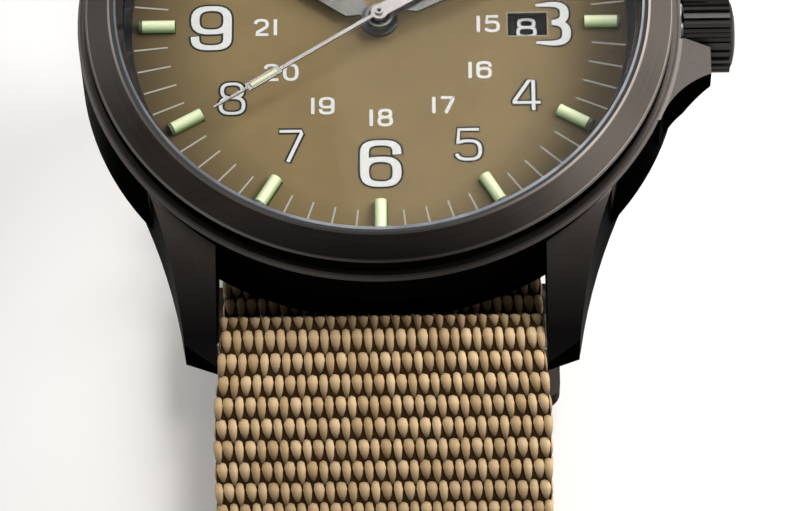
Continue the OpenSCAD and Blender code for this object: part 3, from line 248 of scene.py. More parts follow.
print("materials")
caseRim = 2.0  # the case side stands out this far past the case back
caseSize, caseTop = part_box("case_back")[1][0] / mm + caseRim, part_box("rehaut_ring")[1][2] / mm
bezelSize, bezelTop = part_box("bezel_ring")[1][0] / mm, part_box("bezel_ring")[1][2] / mm
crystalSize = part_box("crystal")[1][0] / mm
brassColour = (0.72, 0.53, 0.24)
handColour = (0.165, 0.162, 0.15)
overAll = 20.0  # a height above every hand
metals = {
    "caseSide": {
        "colour": (0.030, 0.0262, 0.0240), "rough": 0.4, "spread": 0.12, "contrast": 0.22, "fine": 7.0,
        "grazing": 0.0, "litEdgesAndDarkHubsColour": (0.1, 0.088, 0.082),
        "litEdgesAndDarkHubs": [(caseSize - 0.16, caseSize + 0.1, caseTop - 0.34, caseTop + 0.1, 0.5)],
        "paintedLightAndShade": {"pale": 7.0, "even": 19.0, "black": 23.0, "gain": 2.8, "wall": (0.2, 0.55),
                 "colour": (0.006, 0.0055, 0.0055)}},
    "bezelTop": {
        "colour": (0.031, 0.0268, 0.0242), "run": "ring", "contrast": 0.22, "fine": 9.0, "grazing": 0.25,
        "litEdgesAndDarkHubs": [(bezelSize - 0.13, bezelSize + 0.1, bezelTop - 1.3, bezelTop + 0.1, 0.75),
                 (crystalSize + 0.26, crystalSize + 0.38, bezelTop - 0.5, bezelTop + 0.1, 0.6)],
        "paintedLightAndShade": {"pale": 6.0, "even": 16.5, "black": 21.0, "gain": 1.1, "wall": (0.2, 0.55),
                 "colour": (0.006, 0.0052, 0.005)}},
    "hourMetal": {
        "colour": handColour, "spread": 0.16, "contrast": 0.22, "fine": 9.0,
        "litEdgesAndDarkHubs": [(-1.0, 1.34, 0.0, overAll, 2.0)], "litEdgesAndDarkHubsColour": (0.06, 0.06, 0.062)},
    "minuteMetal": {
        "colour": handColour, "spread": 0.16, "contrast": 0.22, "fine": 9.0,
        "litEdgesAndDarkHubs": [(-1.0, 0.74, 0.0, overAll, 2.0)], "litEdgesAndDarkHubsColour": (0.02, 0.02, 0.022)},
    "secondMetal": {
        "colour": (0.33, 0.31, 0.3), "rough": 0.34, "spread": 0.12, "contrast": 0.14, "fine": 9.0},
    "arbor": {
        "colour": brassColour, "run": "ring", "rough": 0.3, "spread": 0.12, "contrast": 0.2, "fine": 10.0,
        "litEdgesAndDarkHubs": [(-1.0, 0.6, 8.6, overAll, 2.0)], "litEdgesAndDarkHubsColour": (0.012, 0.01, 0.01)},
    "rehaut": {
        "colour": (0.024, 0.029, 0.042), "run": "ring", "rough": 0.3, "spread": 0.12, "contrast": 0.25,
        "fine": 4.0, "relief": 0.003, "metallic": 0.7},
    "backSteel": {"colour": (0.36, 0.35, 0.33), "run": "ring", "rough": 0.34, "contrast": 0.25, "fine": 8.0},
    "crownMetal": {
        "colour": (0.05, 0.046, 0.043), "run": "x", "rough": 0.3, "spread": 0.12, "contrast": 0.25,
        "fine": 9.0, "grazing": 0.4},
    "buckleMetal": {
        "colour": (0.03, 0.026, 0.023), "run": "x", "rough": 0.34, "contrast": 0.28, "fine": 8.0,
        "grazing": 0.4},
    "steel": {
        "colour": (0.5, 0.49, 0.47), "run": "x", "rough": 0.3, "spread": 0.12, "contrast": 0.2, "fine": 9.0},
    "brass": {
        "colour": brassColour, "run": "ring", "rough": 0.3, "spread": 0.12, "contrast": 0.2, "fine": 10.0},
    "bridgeMetal": {
        "colour": (0.66, 0.64, 0.6), "run": "y", "rough": 0.32, "spread": 0.12, "contrast": 0.18,
        "fine": 8.0},
    "copper": {
        "colour": (0.72, 0.32, 0.14), "run": "y", "rough": 0.32, "spread": 0.1, "contrast": 0.25,
        "fine": 16.0, "relief": 0.02},
    "cellSteel": {
        "colour": (0.6, 0.6, 0.58), "run": "x", "rough": 0.28, "spread": 0.1, "contrast": 0.15, "fine": 6.0},
    "magnetDark": {
        "colour": (0.16, 0.16, 0.17), "rough": 0.45, "spread": 0.1, "contrast": 0.25, "fine": 9.0},
}
plains = {
    "rubber": {
        "colour": (0.012, 0.012, 0.012), "rough": 0.62, "contrast": 0.2, "scale": 1.5, "fine": 10.0,
        "relief": 0.01},
    "holder": {"colour": (0.62, 0.6, 0.55), "contrast": 0.06, "scale": 0.8, "fine": 8.0},
    "board": {"colour": (0.02, 0.11, 0.06), "rough": 0.42, "contrast": 0.25, "scale": 2.0, "fine": 12.0},
    "printWhite": {
        "colour": (0.74, 0.75, 0.735), "rough": 0.42, "contrast": 0.06, "scale": 2.5, "fine": 16.0,
        "relief": 0.003},
    "printTick": {
        "colour": (0.45, 0.43, 0.37), "rough": 0.42, "contrast": 0.06, "scale": 2.5, "fine": 16.0,
        "relief": 0.003},
    "printDark": {
        "colour": (0.03, 0.032, 0.03), "rough": 0.6, "contrast": 0.2, "scale": 2.5, "fine": 16.0,
        "relief": 0.003, "specular": 0.1},
    "lip": {
        "colour": (0.33, 0.33, 0.26), "rough": 0.4, "contrast": 0.15, "scale": 2.5, "fine": 12.0,
        "relief": 0.003},
    "dateBlack": {
        "colour": (0.006, 0.006, 0.007), "rough": 0.6, "contrast": 0.25, "fine": 12.0, "specular": 0.05},
    "socket": {"colour": (0.10, 0.14, 0.07), "rough": 0.3, "contrast": 0.25, "scale": 2.0, "fine": 12.0},
    "core": {
        "colour": (0.03, 0.015, 0.005), "rough": 0.9, "contrast": 0.35, "scale": 3.0, "fine": 9.0,
        "relief": 0.05, "specular": 0.05},
    "thread": {
        "colour": (0.42, 0.29, 0.15), "rough": 0.75, "contrast": 0.2, "scale": 3.0, "fine": 12.0,
        "relief": 0.02},
}
paints = {name: metalPaint(name, **look) for name, look in metals.items()}
paints.update({name: plainPaint(name, **look) for name, look in plains.items()})


# the dial: fine sand-like grain, a wide soft cloud, painted shade darker towards its rim, most at 3 and 9,
# and painted shade on the faces that do not face up
def dialPaint(look):
    paint = Paint("dialSand", {"Specular IOR Level": 0.12})
    spot = paint.spot()
    x, y, z = paint.parts(spot)
    radius = (x * x + y * y * look["round"]) ** 0.5
    cloud = paint.grain(spot, look["cloud"], 3.0, 0.55)
    sand = paint.grain(spot, look["sand"], 3.0, 0.65)
    # painted shade cast by the bezel, towards the rim
    edge = radius.step(look["rimShadeStart"], look["rimShadeEnd"])
    tone = (cloud * 0.55 + sand * 0.45).step(0.32, 0.68)
    colour = paint.mix(tone, shade(look["colour"], 0.9), shade(look["colour"], 1.1))
    face = paint.mix(edge * look["rimShadeShare"], colour, look["rimShadeColour"])
    paint.set({
        # painted shade: faces that do not face up, such as the walls of the window and the holes, near black
        "Base Color": paint.mix(paint.up().step(0.3, 0.6), look["wallShadeColour"], face),
        "Roughness": sand * 0.16 + 0.5,
        "Normal": paint.bump(sand, 0.5, 0.012)})
    return paint


paints["dial"] = dialPaint({
    "colour": (0.248, 0.18, 0.083), "cloud": 0.22, "sand": 9.0, "round": 0.62,
    "wallShadeColour": (0.012, 0.01, 0.008), "rimShadeStart": 11.5, "rimShadeEnd": 18.0, "rimShadeShare": 0.92,
    "rimShadeColour": (0.05, 0.037, 0.02)})


# glass tubes with phosphor inside: a painted highlight pale along the side that faces up, green with painted
# shade down the flanks, and a painted glow in the same colours
def tubePaint(name, core, shadedFlank, glow):
    paint = Paint(name, {
        "Coat Weight": 0.25, "Coat Roughness": 0.05, "IOR": 1.5, "Specular IOR Level": 0.2,
        "Emission Strength": glow})
    powder = paint.grain(paint.spot(), 5.0, 2.0, 0.6)
    # painted light: pale where the tube faces up, darker green down the flanks, and the emission a painted
    # glow
    lit = (paint.up() + powder * 0.2).step(0.25, 1.1)
    colour = paint.mix(lit, shadedFlank, core)
    paint.set({"Base Color": colour, "Emission Color": colour, "Roughness": powder * 0.1 + 0.12})
    return paint


paints["lume"] = tubePaint("lume", (0.78, 0.86, 0.55), (0.19, 0.34, 0.12), 0.24)
paints["handLume"] = tubePaint("handLume", (0.74, 0.78, 0.52), (0.3, 0.34, 0.2), 0.12)


# clear crystal: a thin coated film, so what lies under it keeps its colour
def crystalPaint():
    paint = Paint("crystal", {
        "Base Color": (0.03, 0.035, 0.035), "Roughness": 0.03, "IOR": 1.77, "Specular IOR Level": 0.2})
    smear = paint.grain(paint.spot(), 0.18, 2.0, 0.5)
    paint.set({"Alpha": smear * 0.03 + 0.03})
    return paint


# the ground edge of the crystal, with a painted highlight that makes the glass look pale
def crystalEdgePaint():
    paint = Paint("crystalEdgeHighlight", {"IOR": 1.77, "Coat Weight": 0.5})
    glint = paint.grain(paint.spot(), 0.6, 2.0, 0.5)
    # painted highlight: pale bluish grey over the whole edge
    paint.set({
        "Base Color": paint.mix(glint.step(0.3, 0.7), (0.22, 0.24, 0.28), (0.36, 0.38, 0.43)),
        "Roughness": glint * 0.2 + 0.12})
    return paint


paints["crystal"] = crystalPaint()
paints["crystalEdgeHighlight"] = crystalEdgePaint()


# webbing yarn: filaments run along each float, every float has its own tone, and painted shade darkens
# its ends where it dips under the next rows, most at its lower end
def yarnPaint(name, light, dark, floatEndShade):
    paint = Paint(name, {"Sheen Weight": 0.06, "Sheen Roughness": 0.5, "Specular IOR Level": 0.1})
    yarn = paint.node("ShaderNodeAttribute", {"attribute_name": "yarn"}, {}, "Vector")
    across, along, own = paint.parts(yarn)
    fuzz = paint.grain(paint.spot(), 6.0, 3.0, 0.7)
    strands = paint.grain(paint.joined(across * 5.0 + along * 0.8, along * 0.7, own * 40.0), 1.6, 2.0, 0.6)
    tone = (own * 0.55 + strands * 0.5 + fuzz * 0.25 - 0.2).between(0, 1)
    body = paint.mix(tone, dark, light)
    # painted shade at both ends of each float, most at the lower end
    sunk = (along.step(-0.3, 0.95) * 0.95 + (0 - along).step(0.7, 1.1) * 0.6).between(0, 1)
    paint.set({
        "Base Color": paint.mix(sunk, body, floatEndShade),
        "Roughness": fuzz * 0.2 + 0.62,
        "Normal": paint.bump(strands * 0.7 + fuzz * 0.3, 0.6, 0.05)})
    return paint


paints["yarn"] = yarnPaint("yarn", (0.8, 0.59, 0.35), (0.42, 0.28, 0.14), (0.05, 0.023, 0.007))


# mesh helpers
def meshFrom(bm, name):
    mesh = bpy.data.meshes.new(name)
    bm.to_mesh(mesh)
    bm.free()
    return mesh


def smoothMesh(mesh, angle):
    for face in mesh.polygons:
        face.use_smooth = True
    mesh.set_sharp_from_angle(angle=math.radians(angle))


def finishMesh(bm, name, angle=32):
    bmesh.ops.remove_doubles(bm, verts=bm.verts, dist=0.0004)
    bmesh.ops.recalc_face_normals(bm, faces=bm.faces)
    bmesh.ops.scale(bm, vec=(mm, mm, mm), verts=bm.verts)
    mesh = meshFrom(bm, name)
    smoothMesh(mesh, angle)
    return mesh


def addPiece(name, mesh, paint, body, replaced=()):
    piece = bpy.data.objects.new(name, mesh)
    scene.collection.objects.link(piece)
    for key in (paint if isinstance(paint, tuple) else (paint,)):
        mesh.materials.append(paints[key].material)
    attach(piece, body)
    if replaced:
        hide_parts(*replaced)


# a closed outline turned once round an upright axis
def lathe(bm, profile, steps, centre=(0, 0, 0)):
    made = [bm.verts.new(p) for p in profile]
    edges = [bm.edges.new((made[i], made[(i + 1) % len(made)])) for i in range(len(made))]
    bmesh.ops.spin(bm, geom=made + edges, cent=centre, axis=(0, 0, 1), angle=math.tau, steps=steps,
                   use_merge=True)


def thicken(bm, faces, height):
    grown = bmesh.ops.extrude_face_region(bm, geom=faces)["geom"]
    tops = [g for g in grown if isinstance(g, bmesh.types.BMVert)]
    bmesh.ops.translate(bm, vec=(0, 0, height), verts=tops)


# a pointed end starts at tip of the full width and has it all after tipPoints points
# an open line is drawn on past its ends by overrun of its half width
pen = {"tip": 0.45, "tipPoints": 5, "overrun": 0.5, "seam": 0.0002}


# a flat ribbon along a line of points: an edge drawn out rail by rail, then thickened
# half is its half width where it runs level, stout where it runs upright
def ribbon(bm, points, half, low, high, closed=False, stout=None, pointed=()):
    count = len(points)
    kept = set(bm.faces)
    rails = []
    for i, (x, y) in enumerate(points):
        before = points[i - 1] if closed or i > 0 else points[i]
        after = points[(i + 1) % count] if closed or i < count - 1 else points[i]
        way = Vector((after[0] - before[0], after[1] - before[1])).normalized()
        wide = half if stout is None else half + (stout - half) * abs(way.y)
        for end in pointed:
            near = min(1.0, abs(i - end % count) / pen["tipPoints"])
            wide *= pen["tip"] + (1 - pen["tip"]) * near
        past = 0.0 if closed else {0: -pen["overrun"], count - 1: pen["overrun"]}.get(i, 0.0) * wide
        middle = Vector((x, y)) + way * past
        side = Vector((-way.y, way.x)) * wide
        rails.append([(*(middle + side), low), (*(middle - side), low)])
    if closed:
        rails.append(rails[0])
    left, right = bm.verts.new(rails[0][0]), bm.verts.new(rails[0][1])
    edge = bm.edges.new((left, right))
    seam = [left, right]
    for rail in rails[1:]:
        grown = bmesh.ops.extrude_edge_only(bm, edges=[edge])["geom"]
        edge = [g for g in grown if isinstance(g, bmesh.types.BMEdge)
                and left not in g.verts and right not in g.verts][0]
        one, two = edge.verts
        if any(left in e.verts for e in two.link_edges):
            one, two = two, one
        one.co, two.co = rail
        left, right = one, two
    if closed:
        bmesh.ops.remove_doubles(bm, verts=seam + [left, right], dist=pen["seam"])
    thicken(bm, [f for f in bm.faces if f not in kept], high - low)


# part of a rounded square, as digits have: an exponent of 2 would be an ellipse
def arc(cx, cy, rx, ry, start, end, count=14, square=2.7):
    out = []
    for i in range(count + 1):
        a = math.radians(start + (end - start) * i / count)
        c, s = math.cos(a), math.sin(a)
        out.append((cx + rx * math.copysign(abs(c) ** (2 / square), c),
                    cy + ry * math.copysign(abs(s) ** (2 / square), s)))
    return out


def ringPath(cx, cy, rx, ry, count=24):
    return arc(cx, cy, rx, ry, 0, 360 - 360 / count, count - 1)


# digits as centre lines in a unit box: (points, closed, ends that are pointed)
glyphs = {
    "0": [(ringPath(0.5, 0.5, 0.5, 0.5, 28), True)],
    "1": [([(0.5, 0.0), (0.5, 1.0)], False)],
    "2": [(arc(0.48, 0.7, 0.48, 0.3, 168, -8, 12)
           + [(0.9, 0.52), (0.14, 0.16), (0.03, 0.0), (1.0, 0.0)], False)],
    "3": [([(0.0, 0.98), (0.1, 0.98), (0.2, 0.985), (0.3, 0.99)] + arc(0.44, 0.765, 0.5, 0.235, 90, -86)
           + [(0.36, 0.53)], False, (0,)),
          ([(0.36, 0.53)] + arc(0.46, 0.265, 0.54, 0.265, 86, -90)
           + [(0.3, 0.01), (0.2, 0.015), (0.1, 0.02), (0.0, 0.02)], False, (-1,))],
    "4": [([(0.76, 0.0), (0.76, 1.0), (0.6, 1.0), (0.02, 0.3), (0.02, 0.24)], False),
          ([(0.02, 0.24), (1.0, 0.24)], False)],
    "5": [([(0.93, 1.0), (0.1, 1.0), (0.06, 0.52)] + arc(0.49, 0.31, 0.51, 0.31, 128, -158, 20), False)],
    "6": [(arc(0.5, 0.76, 0.5, 0.24, 0, 180) + [(0.0, 0.3)], False), (ringPath(0.5, 0.3, 0.5, 0.3), True)],
    "7": [([(0.0, 1.0), (0.93, 1.0), (0.95, 0.93), (0.36, 0.0)], False)],
    "8": [(ringPath(0.5, 0.765, 0.44, 0.235), True), (ringPath(0.5, 0.265, 0.5, 0.265), True)],
    "9": [(arc(0.5, 0.24, 0.5, 0.24, 180, 360) + [(1.0, 0.7)], False), (ringPath(0.5, 0.7, 0.5, 0.3), True)],
}
slimOne = 0.12  # how wide a 1 is against the other digits


# a number at a place, turned about its own centre; each further stroke lies a little higher
def number(bm, text, centre, wide, tall, gap, half, stout, low, high, grow=0.0, turn=0.0):
    widths = [wide * slimOne if digit == "1" else wide for digit in text]
    left = -(sum(widths) + gap * (len(text) - 1)) / 2
    c, s = math.cos(math.radians(turn)), math.sin(math.radians(turn))
    for digit, size in zip(text, widths):
        for stroke, (points, closed, *tips) in enumerate(glyphs[digit]):
            placed = []
            for x, y in points:
                px = left + (x * size if digit != "1" else size / 2)
                py = (y - 0.5) * tall
                placed.append((centre[0] + px * c - py * s, centre[1] + px * s + py * c))
            ribbon(bm, placed, half + grow, low, high + stroke * prints["lift"], closed, stout + grow, *tips)
        left += size + gap


# camera
print("camera")
view = {
    "target": Vector((0, 0, 8.5)) * mm, "elevation": 60.67, "azimuth": 0.75, "roll": -1.38,
    "distance": 351 * mm, "right": -1.42 * mm, "up": 15.93 * mm, "lens": 227.5, "sensor": 36, "near": 0.01}


def placeCamera():
    e = math.radians(view["elevation"])
    a = math.radians(view["azimuth"])
    back = Vector((math.sin(a) * math.cos(e), -math.cos(a) * math.cos(e), math.sin(e)))
    right = Vector((math.cos(a), math.sin(a), 0))
    up = back.cross(right)
    roll = Matrix.Rotation(math.radians(view["roll"]), 3, back)
    right, up = roll @ right, roll @ up
    place = view["target"] + back * view["distance"] - right * view["right"] - up * view["up"]
    camera = bpy.data.objects.new("camera", bpy.data.cameras.new("camera"))
    camera.data.sensor_width = view["sensor"]
    camera.data.lens = view["lens"]
    camera.data.clip_start = view["near"]
    camera.matrix_world = Matrix((
        (right.x, up.x, back.x, place.x), (right.y, up.y, back.y, place.y),
        (right.z, up.z, back.z, place.z), (0, 0, 0, 1)))
    scene.collection.objects.link(camera)
    scene.camera = camera


placeCamera()


# lamps: way points from the watch to the lamp
print("light")
lamps = {
    "keySoft": {
        "way": (0.74, 0.47, 0.48), "away": 0.6, "size": 0.3, "power": 2.35, "colour": (1, 0.98, 0.95)},
    "rightSoft": {
        "way": (0.72, -0.05, 0.69), "away": 0.6, "size": 0.26, "power": 1.95, "colour": (1, 0.97, 0.94)},
    "leftSoft": {
        "way": (-0.76, 0.45, 0.47), "away": 0.6, "size": 0.26, "power": 0.76, "colour": (0.97, 0.99, 1)},
    "topSoft": {"way": (0.16, 0.5, 0.85), "away": 0.7, "size": 0.26, "power": 1.2, "colour": (1, 1, 1)},
    "frontFill": {
        "way": (-0.25, -0.93, 0.36), "away": 0.8, "size": 0.55, "power": 0.85, "colour": (1, 0.99, 0.97)},
}
for name, lamp in lamps.items():
    data = bpy.data.lights.new(name, "AREA")
    data.shape = "DISK"
    data.size = lamp["size"]
    data.energy = lamp["power"]
    data.color = lamp["colour"]
    holder = bpy.data.objects.new(name, data)
    way = Vector(lamp["way"]).normalized()
    holder.location = way * lamp["away"]
    holder.rotation_euler = way.to_track_quat("Z", "Y").to_euler()
    scene.collection.objects.link(holder)


# the world is white to the camera and through glass, dimmer in reflections and as light
studio = {"shine": 0.35, "fill": 0.3}


def studioWorld():
    world = bpy.data.worlds.new("studio")
    scene.world = world
    world.use_nodes = True
    sky = Nodes(world.node_tree)
    dome = sky.tree.nodes["Background"]
    sky.feed(dome.inputs["Color"], (1, 1, 1))
    seen, glossy, through = sky.rays()
    white = seen.calc("MAXIMUM", glossy * studio["shine"]).calc("MAXIMUM", through)
    sky.feed(dome.inputs["Strength"], white * (1 - studio["fill"]) + studio["fill"])


studioWorld()

# floor: glow lifts it to white for the camera, mirror is what shiny and clear pieces see of it
floorLook = {
    "half": 0.9, "steps": 4, "glow": 0.03, "mirror": 0.2,
    "paint": {"colour": (0.92, 0.92, 0.92), "rough": 0.8, "contrast": 0.004, "scale": 0.05, "fine": 0.4,
              "relief": 0.0}}


def floorPiece(low):
    bm = bmesh.new()
    steps = floorLook["steps"]
    bmesh.ops.create_grid(bm, x_segments=steps, y_segments=steps, size=floorLook["half"])
    bmesh.ops.translate(bm, vec=(0, 0, low), verts=bm.verts)
    mesh = meshFrom(bm, "floor")
    floor = bpy.data.objects.new("floor", mesh)
    scene.collection.objects.link(floor)
    paint = plainPaint("floor", **floorLook["paint"])
    seen, glossy, through = paint.rays()
    mirrored = glossy.calc("MAXIMUM", through) * floorLook["mirror"]
    paint.set({
        "Emission Color": (1, 1, 1),
        "Emission Strength": (seen * floorLook["glow"]).calc("MAXIMUM", mirrored)})
    mesh.materials.append(paint.material)


floorPiece(cadBox[0][2])


# dial print: low, dark and white are heights of the ink, lift how much higher each further stroke ends,
# shadow how far the dark outline stands out, swell what a number outgrows its size by, and gap and
# gapShare the room between its digits
print("dial")
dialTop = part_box("dial_plate")[1][2] / mm
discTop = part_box("date_disc")[1][2] / mm
prints = {
    "low": dialTop - 0.005, "dark": dialTop + 0.008, "white": dialTop + 0.022, "lift": 0.0025,
    "shadow": 0.15, "swell": 0.08, "gap": 0.42, "gapShare": 0.2}
# hour numbers as (text, centre, width, height, half stroke where it runs level, and where upright)
hours = [
    ("3", (11.93, 0.0), 2.6, 3.5, 0.2, 0.3), ("9", (-11.68, 0.0), 2.75, 3.5, 0.19, 0.29),
    ("6", (0.02, -11.06), 2.75, 3.6, 0.2, 0.3), ("12", (0.0, 11.1), 2.7, 3.6, 0.2, 0.3),
    ("5", (6.03, -9.63), 1.78, 2.5, 0.105, 0.125), ("7", (-6.09, -9.6), 1.72, 2.5, 0.105, 0.125),
    ("4", (10.1, -5.74), 1.95, 2.45, 0.105, 0.125), ("8", (-10.19, -5.74), 1.75, 2.5, 0.105, 0.125),
    ("1", (5.75, 9.85), 1.78, 2.5, 0.12, 0.14), ("2", (9.95, 5.74), 1.78, 2.5, 0.105, 0.125),
    ("10", (-9.75, 5.74), 1.75, 2.5, 0.105, 0.125), ("11", (-5.85, 9.75), 1.75, 2.5, 0.12, 0.14)]
# the small numbers stand on a circle, but those in the photograph have places of their own
small = {
    "radius": 7.6, "wide": 0.84, "tall": 1.18, "gap": 0.49, "half": 0.105, "stout": 0.12, "moved": {
        21: (-7.9, 0.0), 20: (-6.82, -3.67), 19: (-3.97, -6.41), 18: (0.05, -7.41), 17: (4.36, -6.46),
        16: (6.9, -3.67), 15: (7.52, 0.07)}}
ticks = {"start": 14.8, "end": 17.08, "half": 0.06}
bite = {"left": 8.82, "right": 11.95, "half": 0.98}


# the date window takes a bite out of the 3, as the photograph shows
def keepClear(bm):
    cuts = [((bite["left"], 0, 0), (1, 0, 0)), ((bite["right"], 0, 0), (1, 0, 0)),
            ((0, bite["half"], 0), (0, 1, 0)), ((0, -bite["half"], 0), (0, 1, 0))]
    for place, way in cuts:
        everything = bm.verts[:] + bm.edges[:] + bm.faces[:]
        bmesh.ops.bisect_plane(bm, geom=everything, plane_co=place, plane_no=way)
    middles = [(face, face.calc_center_median()) for face in bm.faces]
    inside = [face for face, middle in middles
              if bite["left"] < middle.x < bite["right"] and abs(middle.y) < bite["half"]]
    bmesh.ops.delete(bm, geom=inside, context="FACES")
    bmesh.ops.holes_fill(bm, edges=[e for e in bm.edges if e.is_boundary], sides=0)


def hourNumbers(bm, level, grow):
    for text, centre, wide, tall, half, stout in hours:
        lineWide = wide - 2 * stout + prints["swell"]
        lineTall = tall - 2 * half + prints["swell"]
        number(bm, text, centre, lineWide, lineTall, prints["gap"] + wide * prints["gapShare"],
               half, stout, prints["low"], level, grow)
    keepClear(bm)


def smallNumbers(bm, level):
    for hour in range(13, 25):
        angle = math.radians(hour * 30)
        middle = (small["radius"] * math.sin(angle), small["radius"] * math.cos(angle))
        middle = small["moved"].get(hour, middle)
        number(bm, str(hour), middle, small["wide"], small["tall"], small["gap"], small["half"],
               small["stout"], prints["low"], level)


def minuteTicks(bm, level):
    for minute in range(60):
        if minute % 5 == 0:
            continue
        angle = math.radians(minute * 6)
        s, c = math.sin(angle), math.cos(angle)
        line = [(reach * s, reach * c) for reach in (ticks["start"], ticks["end"])]
        ribbon(bm, line, ticks["half"], prints["low"], level)


# a dark print, a little wider, shows round the white hour numbers as their outline
def dialPrint():
    shadow = bmesh.new()
    hourNumbers(shadow, prints["dark"], prints["shadow"])
    addPiece("dial_print_shadow", finishMesh(shadow, "dial_print_shadow"), "printDark", "watch", ())
    bm = bmesh.new()
    hourNumbers(bm, prints["white"], 0.0)
    smallNumbers(bm, prints["white"])
    numbered = set(bm.faces)
    minuteTicks(bm, prints["white"])
    for face in bm.faces:
        face.material_index = 0 if face in numbered else 1
    addPiece("dial_print", finishMesh(bm, "dial_print"), ("printWhite", "printTick"), "watch", ())


dialPrint()

# numbers on the date disc, one of them in the window
dates = {
    "days": 31, "shown": 8, "radius": 10.2, "wide": 1.2, "narrow": 0.78, "tall": 1.36, "gap": 0.26,
    "half": 0.1, "stout": 0.12, "sunk": 0.01, "proud": 0.015}


def datePrint():
    bm = bmesh.new()
    radius, low, high = dates["radius"], discTop - dates["sunk"], discTop + dates["proud"]
    for day in range(1, dates["days"] + 1):
        turn = (dates["shown"] - day) * 360 / dates["days"]
        middle = (radius * math.cos(math.radians(turn)), radius * math.sin(math.radians(turn)))
        wide = dates["wide"] if day < 10 else dates["narrow"]
        number(bm, str(day), middle, wide, dates["tall"], dates["gap"], dates["half"], dates["stout"],
               low, high, 0.0, turn)
    addPiece("date_print", finishMesh(bm, "date_print"), "printWhite", "date_ring", ())


datePrint()

# polished lip round the date window
window = {"middle": 10.25, "halfWide": 1.35, "halfTall": 0.9, "edge": 0.07, "line": 0.042, "sunk": 0.05,
          "proud": 0.02}


def windowLip():
    bm = bmesh.new()
    wide, tall = window["halfWide"] + window["edge"], window["halfTall"] + window["edge"]
    outline = [(window["middle"] + x * wide, y * tall) for x, y in ((-1, -1), (1, -1), (1, 1), (-1, 1))]
    ribbon(bm, outline, window["line"], dialTop - window["sunk"], dialTop + window["proud"], True)
    addPiece("window_lip", finishMesh(bm, "window_lip"), "lip", "watch", ())


windowLip()

# crystal: clear below the gasket's top, its ground edge above with a painted highlight
print("crystal")
glass = {"edge": 0.17, "steps": 160, "seam": 0.0005, "sharp": 25}


def crystalPiece():
    bm = bmesh.new()
    low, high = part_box("crystal")
    radius, under, top, edge = high[0] / mm, low[2] / mm, high[2] / mm, glass["edge"]
    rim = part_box("crystal_gasket")[1][2] / mm
    lathe(bm, [(0.0, 0, under), (radius, 0, under), (radius, 0, rim), (radius, 0, top - edge),
               (radius - edge, 0, top), (0.0, 0, top)], glass["steps"])
    bmesh.ops.remove_doubles(bm, verts=bm.verts, dist=glass["seam"])
    for face in bm.faces:
        middle = face.calc_center_median()
        if math.hypot(middle.x, middle.y) > radius - edge and middle.z > rim:
            face.material_index = 1
    addPiece("crystal_glass", finishMesh(bm, "crystal_glass", glass["sharp"]), ("crystal", "crystalEdgeHighlight"),
             "watch", ("crystal",))


crystalPiece()

# finishes of the CAD nodes that stay
print("finishes")
finishes = {
    "caseSide": ["mid_case"], "bezelTop": ["bezel_ring"], "rehaut": ["rehaut_ring"], "dial": ["dial_plate"],
    "rubber": ["crystal_gasket", "crown_gasket", "back_gasket"], "backSteel": ["case_back"],
    "lume": ["dial_tubes"], "socket": ["tube_sockets"], "hourMetal": ["hour_hand"],
    "minuteMetal": ["minute_hand"], "secondMetal": ["second_hand"], "crownMetal": ["crown"],
    "handLume": ["hour_tube", "minute_tube", "second_tube"], "dateBlack": ["date_disc"],
    "holder": ["movement_ring"], "bridgeMetal": ["train_bridge"], "copper": ["coil"],
    "board": ["circuit_board"], "cellSteel": ["quartz_can", "button_cell"], "magnetDark": ["rotor"],
    "arbor": ["second_wheel"],
    "brass": ["main_plate", "intermediate_wheel", "third_wheel", "centre_wheel", "minute_wheel", "hour_wheel",
              "date_wheel"],
    "steel": ["bridge_screws", "stator", "cell_clamp", "date_jumper", "stem", "sliding_pinion",
              "setting_lever", "crown_tube", "bar_tube_six", "bar_tube_twelve", "bar_pin_six_left",
              "bar_pin_six_right", "bar_pin_twelve_left", "bar_pin_twelve_right", "bar_springs",
              "buckle_bar"],
    "buckleMetal": ["buckle_frame", "buckle_tongue", "keeper_fixed", "keeper_loose"]}
for key, names in finishes.items():
    for name in names:
        for slot in nodes[name].material_slots:
            slot.material = paints[key].material

# strap: core is the core's half thickness, face the height of the floats' middles, slotEnds how far the
# tongue's slot runs on past the fold round the buckle bar, and holes lie on a turn, at a heading
print("strap")
strap = {
    "half": 11.05, "coreHalf": 10.9, "core": 0.4, "face": 0.36, "hole": 1.0, "slotHalf": 1.15, "swell": 0.04,
    "foldStart": (15.0, -38.785), "coreColumns": 8, "coreRow": 0.4, "cutDepth": 3, "cutSides": 32,
    "tailLeast": 0.0006, "sharp": 40, "slotEnds": (2.2, 1.6), "turnPoints": 8,
    "holes": [("tail", 52), ("tail", 61), ("tail", 70), ("wristSix", 308), ("wristSix", 326)]}
# turns of the centre line as (y, z, radius, heading before, heading after), straight between them
turns = {
    "underFold": (7.904, -40.785, 2.0, 180, 215), "buckleBar": (4.0, -39.185, 1.55, 215, 0),
    "wristTwelve": (16.245, -15.635, 22.0, 0, 132), "riseTwelve": (14.015, -17.642, 25.0, 132, 158),
    "barTwelve": (22.8, 4.1, 1.55, 158, 270), "backTwelve": (19.0, 2.85, 2.25, 270, 180),
    "backSix": (-19.0, 2.85, 2.25, 180, 90), "barSix": (-22.8, 4.1, 1.55, 90, 202),
    "riseSix": (-14.015, -17.642, 25.0, 202, 228), "wristSix": (-16.245, -15.635, 22.0, 228, 360),
    "dip": (-2.48, -39.635, 2.0, 0, -45), "overBuckle": (4.0, -39.185, 2.9, -45, 25),
    "level": (9.597, -43.085, 3.0, 25, 0), "tail": (16.245, -15.635, 24.45, 0, 78)}


# a place on a turn, for a heading in degrees
def onTurn(turn, heading):
    y, z, radius, before, after = turn
    a = math.radians(heading - math.copysign(90, after - before))
    return y + radius * math.cos(a), z + radius * math.sin(a)


